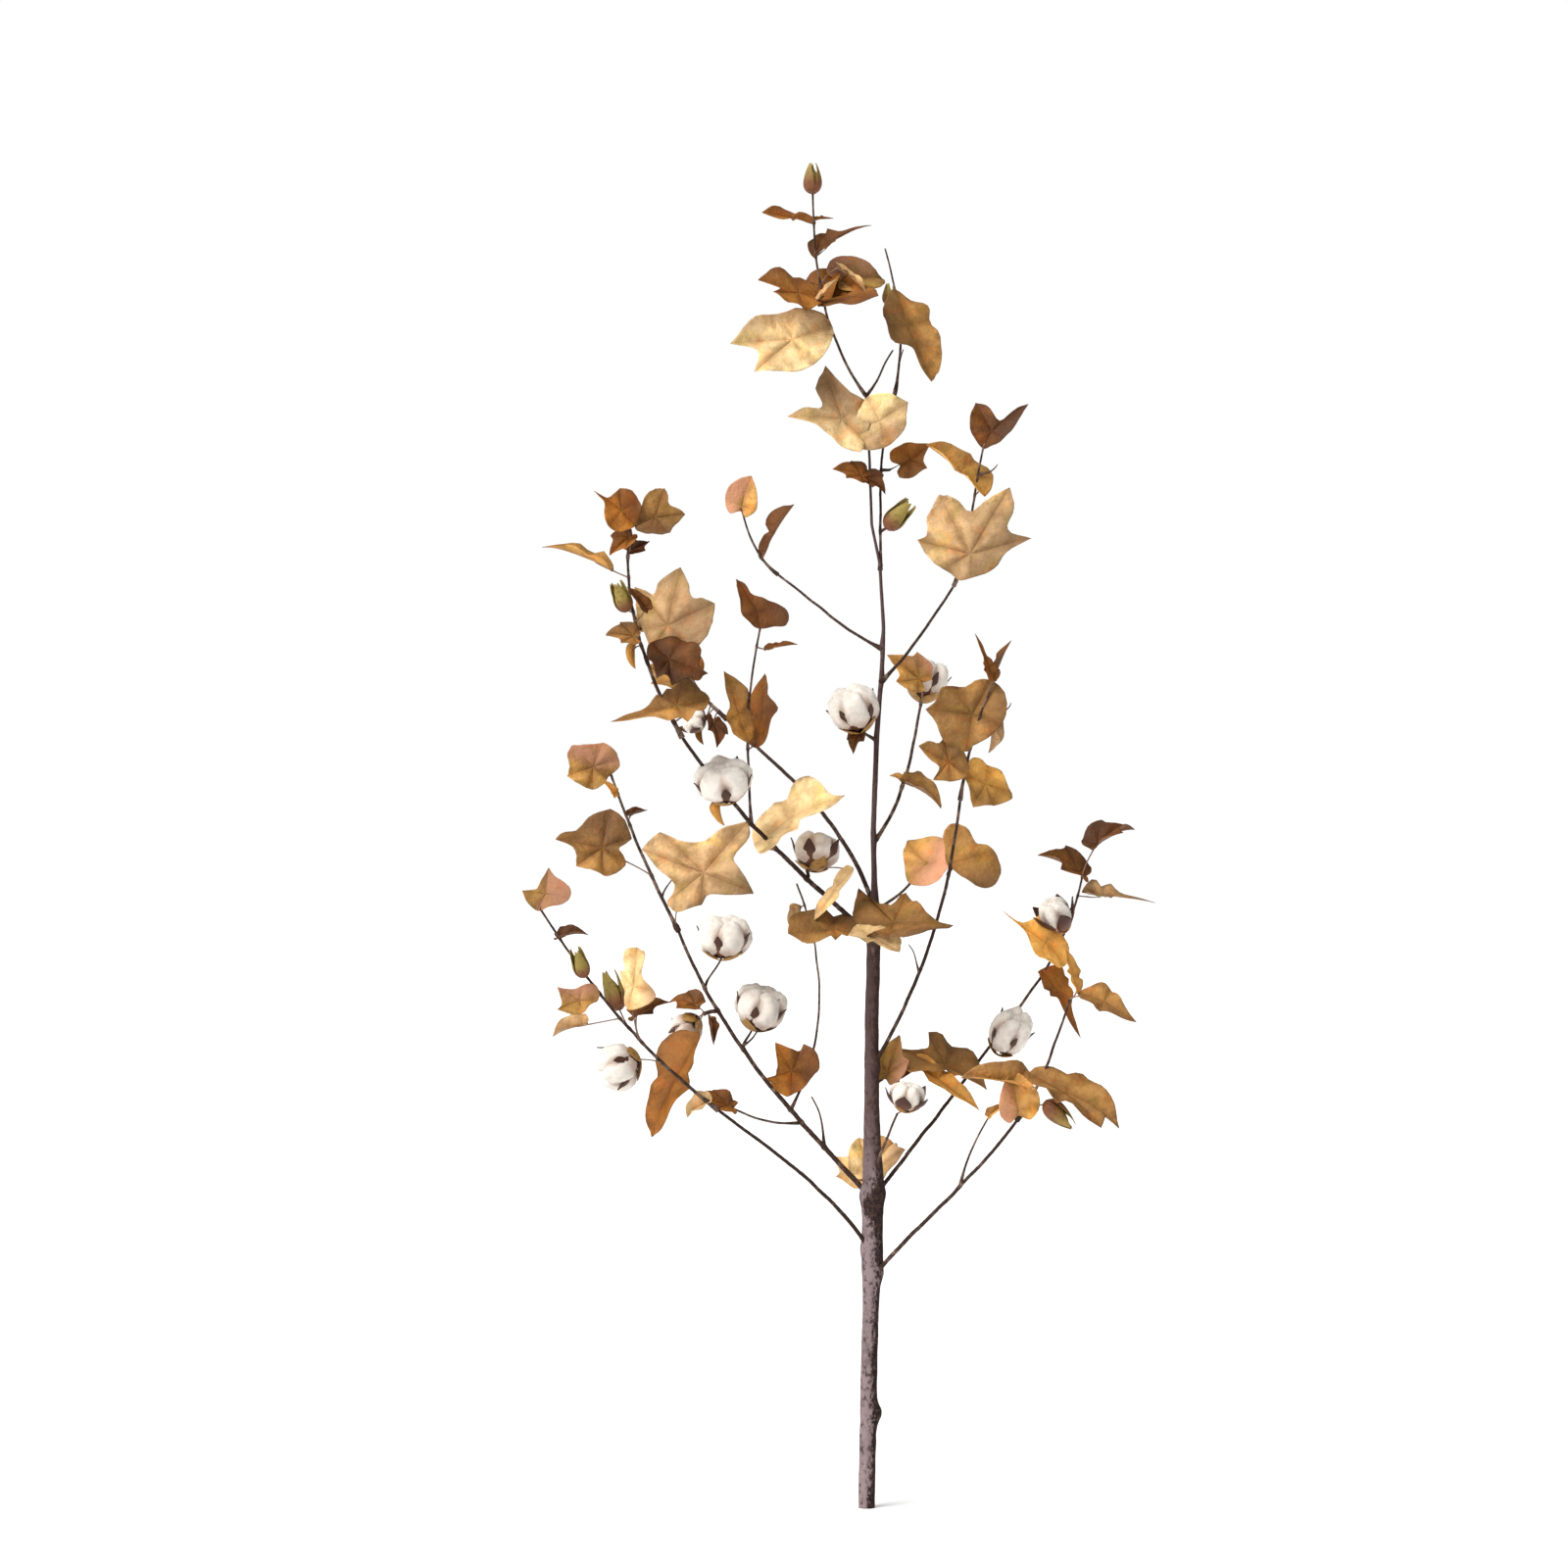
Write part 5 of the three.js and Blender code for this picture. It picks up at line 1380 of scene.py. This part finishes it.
class Paint(Nodes):
    """A material under construction."""

    def __init__(self, name, roughness, **values):
        self.material = bpy.data.materials.new(name)
        self.material.use_nodes = True
        super().__init__(self.material.node_tree)
        self.shader = self.tree.nodes["Principled BSDF"]
        self.shader.inputs["Roughness"].default_value = roughness
        for label, value in values.items():
            self.shader.inputs[label.replace("_", " ")].default_value = value

    def ramp(self, value, low, high):
        """Rises from 0 to 1 as the value goes from low to high."""
        return self.out("ShaderNodeMapRange", {"Value": value, "From Min": low, "From Max": high},
                        interpolation_type="SMOOTHSTEP")

    def slope(self, value, low, high):
        """Falls from 1 to 0 as the value goes from low to high."""
        return self.math("SUBTRACT", 1, self.ramp(value, low, high))

    def noise(self, scale, detail, roughness=0.55, stretch=(1, 1, 1)):
        spot = self.out("ShaderNodeTexCoord", output="Object")
        place = self.out("ShaderNodeMapping", {"Vector": spot, "Scale": stretch})
        return self.out("ShaderNodeTexNoise", {
            "Vector": place, "Scale": scale, "Detail": detail, "Roughness": roughness}, "Fac")

    def patches(self, low, high, *grain):
        """Patches that show where a noise rises from low to high."""
        return self.ramp(self.noise(*grain), low, high)

    def mix(self, factor, a, b, blend="MIX"):
        return self.out("ShaderNodeMix", {0: factor, 6: a, 7: b}, 2, data_type="RGBA", blend_type=blend)

    def layer(self, under, mask, strength, over, blend="MIX"):
        """Lays one colour over another where the mask shows."""
        return self.mix(self.times(mask, strength), under, over, blend)

    def values(self, label):
        """The three parts of a point attribute."""
        spot = self.out("ShaderNodeAttribute", output="Vector", attribute_name=label)
        return self.node("ShaderNodeSeparateXYZ", {0: spot}).outputs[:3]

    def finish(self, body, height=None, depth=0, strength=0):
        """Joins the colour, and the bump where there is one, to the shader."""
        self.tree.links.new(body, self.shader.inputs["Base Color"])
        if height is not None:
            bump = self.out("ShaderNodeBump", {"Height": height, "Strength": strength, "Distance": depth})
            self.tree.links.new(bump, self.shader.inputs["Normal"])
        return self.material


def shaded(code, amount):
    """A colour made lighter or darker by a factor."""
    return (*(min(1, part * amount) for part in code[:3]), 1)


def leaf_veins(paint, along, from_vein):
    """Fine veins: one along each main vein, and fainter ones that branch off it at even steps."""
    stripe = paint.math("SUBTRACT", along, paint.times(from_vein, 0.9))
    wave = paint.math("ABSOLUTE", paint.math("SINE", paint.times(stripe, 0.42)))
    side_vein = paint.times(paint.slope(wave, 0, 0.18), paint.ramp(along, 8, 18))
    return paint.math("MAXIMUM", paint.slope(from_vein, 0.15, 1.3), paint.times(side_vein, 0.4))


def leaf_material(tint):
    """Dry leaf: its own colour, with painted shade over one half of the blade and beside its main veins,
    mottling, a darker rim, veins and a flush.
    """
    paint = Paint("leaf_" + tint, 0.6, Specular_IOR_Level=0.22)
    along, from_vein, fade = paint.values("place")
    flush, shade, rim = paint.values("mood")
    base = tone(tint)
    vein = leaf_veins(paint, along, from_vein)
    # Painted shade: a lit and a shaded copy of the leaf's colour, mixed by the painted shade across the
    # blade.
    body = paint.mix(paint.ramp(shade, 0.1, 1), shaded(base, 1.45), shaded(base, 0.55))
    body = paint.layer(body, paint.patches(0.4, 0.66, 46, 5), 0.8, BLOTCHED, "MULTIPLY")
    body = paint.layer(body, paint.patches(0.5, 0.7, 26, 4), 0.8, BLEACHED, "MULTIPLY")
    # Painted shade in the hollows beside the main veins, fading out 12 mm from them.
    body = paint.layer(body, paint.slope(from_vein, 0.5, 12), 0.85, VEIN_HOLLOW_SHADE, "MULTIPLY")
    body = paint.layer(body, vein, 0.4, shaded(base, 0.6))
    scorched = paint.times(paint.ramp(rim, 0.72, 1), paint.patches(0.42, 0.66, 60, 3))
    body = paint.layer(body, scorched, 0.65, shaded(base, 0.42))
    flushed = paint.ramp(paint.plus(flush, paint.times(paint.noise(38, 4), 1.2)), 0.3, 1.5)
    body = paint.layer(body, flushed, ROSY_FLUSH if tint == "rosy" else FAINT_FLUSH, tone("blush"))
    body = paint.layer(body, paint.patches(0.5, 0.68, 33, 3), 0.7, OLIVE, "MULTIPLY")
    body = paint.layer(body, paint.patches(0.52, 0.68, 52, 4), 0.7, RUSSET, "MULTIPLY")
    body = paint.mix(1, body, paint.plus(fade, 1), "MULTIPLY")
    grain = paint.plus(paint.times(paint.noise(95, 4, 0.6), 5), paint.times(paint.noise(900, 2), 0.3))
    return paint.finish(body, paint.plus(paint.times(vein, -0.6), grain), 0.0008, 0.85)


def trunk_material():
    """Grey-mauve bark, painted darker as shade on the side away from the lamp, with dark patches, and dark
    brown up the stem.
    """
    paint = Paint("trunk_bark", 0.85, Specular_IOR_Level=0.1)
    # side is how near a point lies to the stem's side with painted shade.
    side, height, node = paint.values("place")
    pale, dark = tone("bark"), tone("bark_dark")
    body = paint.mix(
        paint.patches(0.42, 0.64, 60, 6, 0.66, (1, 1, 0.4)), shaded(pale, 1.15), shaded(pale, 0.62))
    mottle = paint.noise(240, 4, 0.7, (1, 1, 0.6))
    body = paint.mix(paint.ramp(mottle, 0.36, 0.58), shaded(pale, 1.15), body)
    # Painted shade: the side away from the lamp, broken up by noise, takes the dark colour, as does the dark
    # band of the node.
    shade_side_and_node = paint.plus(side, paint.times(node, 1.3))
    shade_side_and_node = paint.plus(shade_side_and_node, paint.times(paint.noise(40, 4, 0.6, (1, 1, 0.35)), 1.6))
    shade_side_and_node = paint.plus(shade_side_and_node, paint.times(mottle, 2.4))
    deep = paint.mix(paint.patches(0.46, 0.62, 150, 5, 0.7), shaded(dark, 0.5), shaded(dark, 2.6))
    body = paint.layer(body, paint.ramp(shade_side_and_node, 2.35, 2.8), 0.95, deep)
    body = paint.layer(body, paint.patches(0.53, 0.62, 170, 5, 0.66, (1, 1, 0.7)), 0.75, dark)
    upper = paint.ramp(paint.plus(height, paint.times(paint.noise(18, 3), 0.25)), 0.5, 0.7)
    body = paint.layer(body, upper, 0.8, shaded(dark, 2.2))
    return paint.finish(body, paint.noise(420, 5, 0.65, (1, 1, 0.4)), 0.0009, 0.8)


def limb_material(name, dark, pale, low, high):
    """Bark of a bough, twig or stalk: dark, with smooth paler places."""
    paint = Paint(name, 0.75, Specular_IOR_Level=0.2)
    body = paint.mix(paint.patches(low, high, 70, 5, 0.6), dark, pale)
    body = paint.layer(body, paint.patches(0.55, 0.7, 420, 3), 0.5, shaded(dark, 0.5))
    return paint.finish(body, paint.noise(600, 4), 0.0005, 0.7)


def cotton_material():
    """White cotton: matt, with a fine fibrous bump, with painted shade between the locks and low on each
    lock that also stands for brown marks near the husks.
    """
    paint = Paint("cotton", 0.95, Specular_IOR_Level=0.1, Sheen_Weight=0.4, Sheen_Roughness=0.6)
    between, low, _ = paint.values("place")
    body = paint.layer(tone("cotton"), paint.patches(0.45, 0.72, 75, 4), 0.6, shaded(tone("cotton"), 0.7))
    # Painted shade between the locks and low on each lock, partly brown marks near the husks.
    seam_shade_and_stain = paint.math("MAXIMUM", paint.ramp(between, 0.5, 0.95), paint.ramp(low, 0.2, 0.9))
    body = paint.layer(body, seam_shade_and_stain, 0.85, tone("seam"))
    return paint.finish(body, paint.noise(700, 6, 0.7, (1, 0.35, 0.5)), 0.0012, 0.7)


def fibre_material():
    """Loose fibres: cream-white, a little darker here and there."""
    paint = Paint("cotton_fibre", 0.95, Specular_IOR_Level=0.1, Sheen_Weight=0.3, Sheen_Roughness=0.6)
    return paint.finish(
        paint.mix(paint.patches(0.4, 0.7, 120, 3), tone("cotton"), shaded(tone("cotton"), 0.82)))


def husk_material():
    """Dry husks, darker towards their points, and the golden cups under them."""
    paint = Paint("husk", 0.6, Specular_IOR_Level=0.4)
    up, cup, _ = paint.values("place")
    body = paint.mix(paint.ramp(up, 0.1, 0.8), shaded(tone("husk"), 1.3), shaded(tone("husk"), 0.5))
    body = paint.mix(cup, body, tone("cup"))
    body = paint.layer(body, paint.patches(0.45, 0.7, 160, 4), 0.5, shaded(tone("husk"), 0.5))
    return paint.finish(body, paint.noise(520, 4), 0.0006, 0.7)


def bud_material():
    """Bud: red-brown at its foot, turning yellow-green at its points."""
    paint = Paint("bud", 0.6, Specular_IOR_Level=0.35)
    up, _, _ = paint.values("place")
    body = paint.mix(paint.ramp(up, 0.15, 0.6), tone("bud_brown"), tone("bud"))
    body = paint.layer(body, paint.patches(0.5, 0.68, 190, 4), 0.6, shaded(tone("bud_brown"), 0.6))
    return paint.finish(body, paint.noise(480, 4), 0.0005, 0.6)


# Stage


def floor_material():
    paint = Paint("floor", 0.9, Specular_IOR_Level=0.1, Emission_Color=WHITE, Emission_Strength=FLOOR_GLOW)
    return paint.finish(paint.mix(paint.noise(2, 2), (0.93, 0.93, 0.93, 1), (0.95, 0.95, 0.95, 1)))


def make_world():
    """White behind the plant, and a dimmer white light from all round."""
    world = bpy.data.worlds.new("studio")
    world.use_nodes = True
    nodes = Nodes(world.node_tree)
    backdrop = nodes.out("ShaderNodeBackground", {"Color": WHITE, "Strength": 1})
    around_it = nodes.out("ShaderNodeBackground", {"Color": WHITE, "Strength": AROUND})
    to_camera = nodes.out("ShaderNodeLightPath", output="Is Camera Ray")
    choice = nodes.out("ShaderNodeMixShader", {0: to_camera, 1: around_it, 2: backdrop})
    world.node_tree.links.new(choice, world.node_tree.nodes["World Output"].inputs["Surface"])
    bpy.context.scene.world = world


def make_floor():
    """A wide round floor at the stem's foot."""
    turns = np.linspace(0, 2 * math.pi, FLOOR_SIDES, endpoint=False)
    disc = bpy.data.meshes.new("floor")
    disc.from_pydata(around(FLOOR_RADIUS, turns, 0).tolist(), [], [tuple(range(FLOOR_SIDES))])
    disc.materials.append(floor_material())
    add_object("floor", disc)


def make_lamp():
    """The light from one side, soft because it stands wide in the sky."""
    data = bpy.data.lights.new("window", "SUN")
    data.energy = WINDOW
    data.angle = math.radians(WINDOW_SPREAD)
    add_object("window", data).rotation_euler = Vector(LIGHT_FROM).to_track_quat("Z", "Y").to_euler()


def make_camera():
    """Level and square on, at the height of the picture's middle, with the colours shown as they are."""
    data = bpy.data.cameras.new("front")
    data.sensor_width = SENSOR
    data.lens = SENSOR * -SIGHT.y / FRAME_WIDE
    camera = add_object("front", data)
    camera.location = SIGHT * MM
    camera.rotation_euler = (math.pi / 2, 0, 0)
    bpy.context.scene.camera = camera
    bpy.context.scene.view_settings.view_transform = "Standard"


# Operators and panel


class MakeTrunk(bpy.types.Operator):
    """Makes the stem with its bark, knot and collars"""

    bl_idname = "cotton.make_trunk"
    bl_label = "Stem"

    def execute(self, context):
        make_trunk()
        return {"FINISHED"}


class MakeLimbs(bpy.types.Operator):
    """Makes the boughs, the twigs and the stalks of leaves, bolls and buds"""

    bl_idname = "cotton.make_limbs"
    bl_label = "Boughs, twigs and stalks"

    def execute(self, context):
        make_boughs()
        make_twigs()
        make_stalks()
        return {"FINISHED"}


class MakeLeaves(bpy.types.Operator):
    """Makes the leaves, in one piece for each colour"""

    bl_idname = "cotton.make_leaves"
    bl_label = "Leaves"

    def execute(self, context):
        for tint in TINTS:
            make_leaves(tint)
        return {"FINISHED"}


class MakeBolls(bpy.types.Operator):
    """Makes the open bolls: locks of cotton, loose fibres and husks"""

    bl_idname = "cotton.make_bolls"
    bl_label = "Bolls"

    def execute(self, context):
        make_fibres(make_cotton())
        make_husks()
        return {"FINISHED"}


class MakeBuds(bpy.types.Operator):
    """Makes the closed buds and the bracts round them"""

    bl_idname = "cotton.make_buds"
    bl_label = "Buds"

    def execute(self, context):
        make_buds()
        return {"FINISHED"}


class MakeStage(bpy.types.Operator):
    """Makes the pale floor, the soft light and the camera"""

    bl_idname = "cotton.make_stage"
    bl_label = "Floor, light and camera"

    def execute(self, context):
        make_camera()
        make_floor()
        make_world()
        make_lamp()
        return {"FINISHED"}


OPERATORS = (MakeStage, MakeTrunk, MakeLimbs, MakeLeaves, MakeBolls, MakeBuds)


class CottonPanel(bpy.types.Panel):
    """Lists the plant's sizes, colours and makers"""

    bl_idname = "VIEW3D_PT_cotton_branch"
    bl_label = "Cotton Branch"
    bl_space_type = "VIEW_3D"
    bl_region_type = "UI"
    bl_category = "Cotton"

    def draw(self, context):
        for group in (context.scene.cotton_branch_sizes, context.scene.cotton_branch_colours):
            for label in group.__annotations__:
                self.layout.prop(group, label)
        for maker in OPERATORS:
            self.layout.operator(maker.bl_idname)


CLASSES = (CottonBranchSizes, CottonBranchColours, *OPERATORS, CottonPanel)


def register():
    for made in CLASSES:
        bpy.utils.register_class(made)
    bpy.types.Scene.cotton_branch_sizes = PointerProperty(type=CottonBranchSizes)
    bpy.types.Scene.cotton_branch_colours = PointerProperty(type=CottonBranchColours)


def unregister():
    del bpy.types.Scene.cotton_branch_colours
    del bpy.types.Scene.cotton_branch_sizes
    for made in reversed(CLASSES):
        bpy.utils.unregister_class(made)


def main():
    register()
    for maker in OPERATORS:
        group, call = maker.bl_idname.split(".")
        getattr(getattr(bpy.ops, group), call)()


if __name__ == "__main__":
    main()
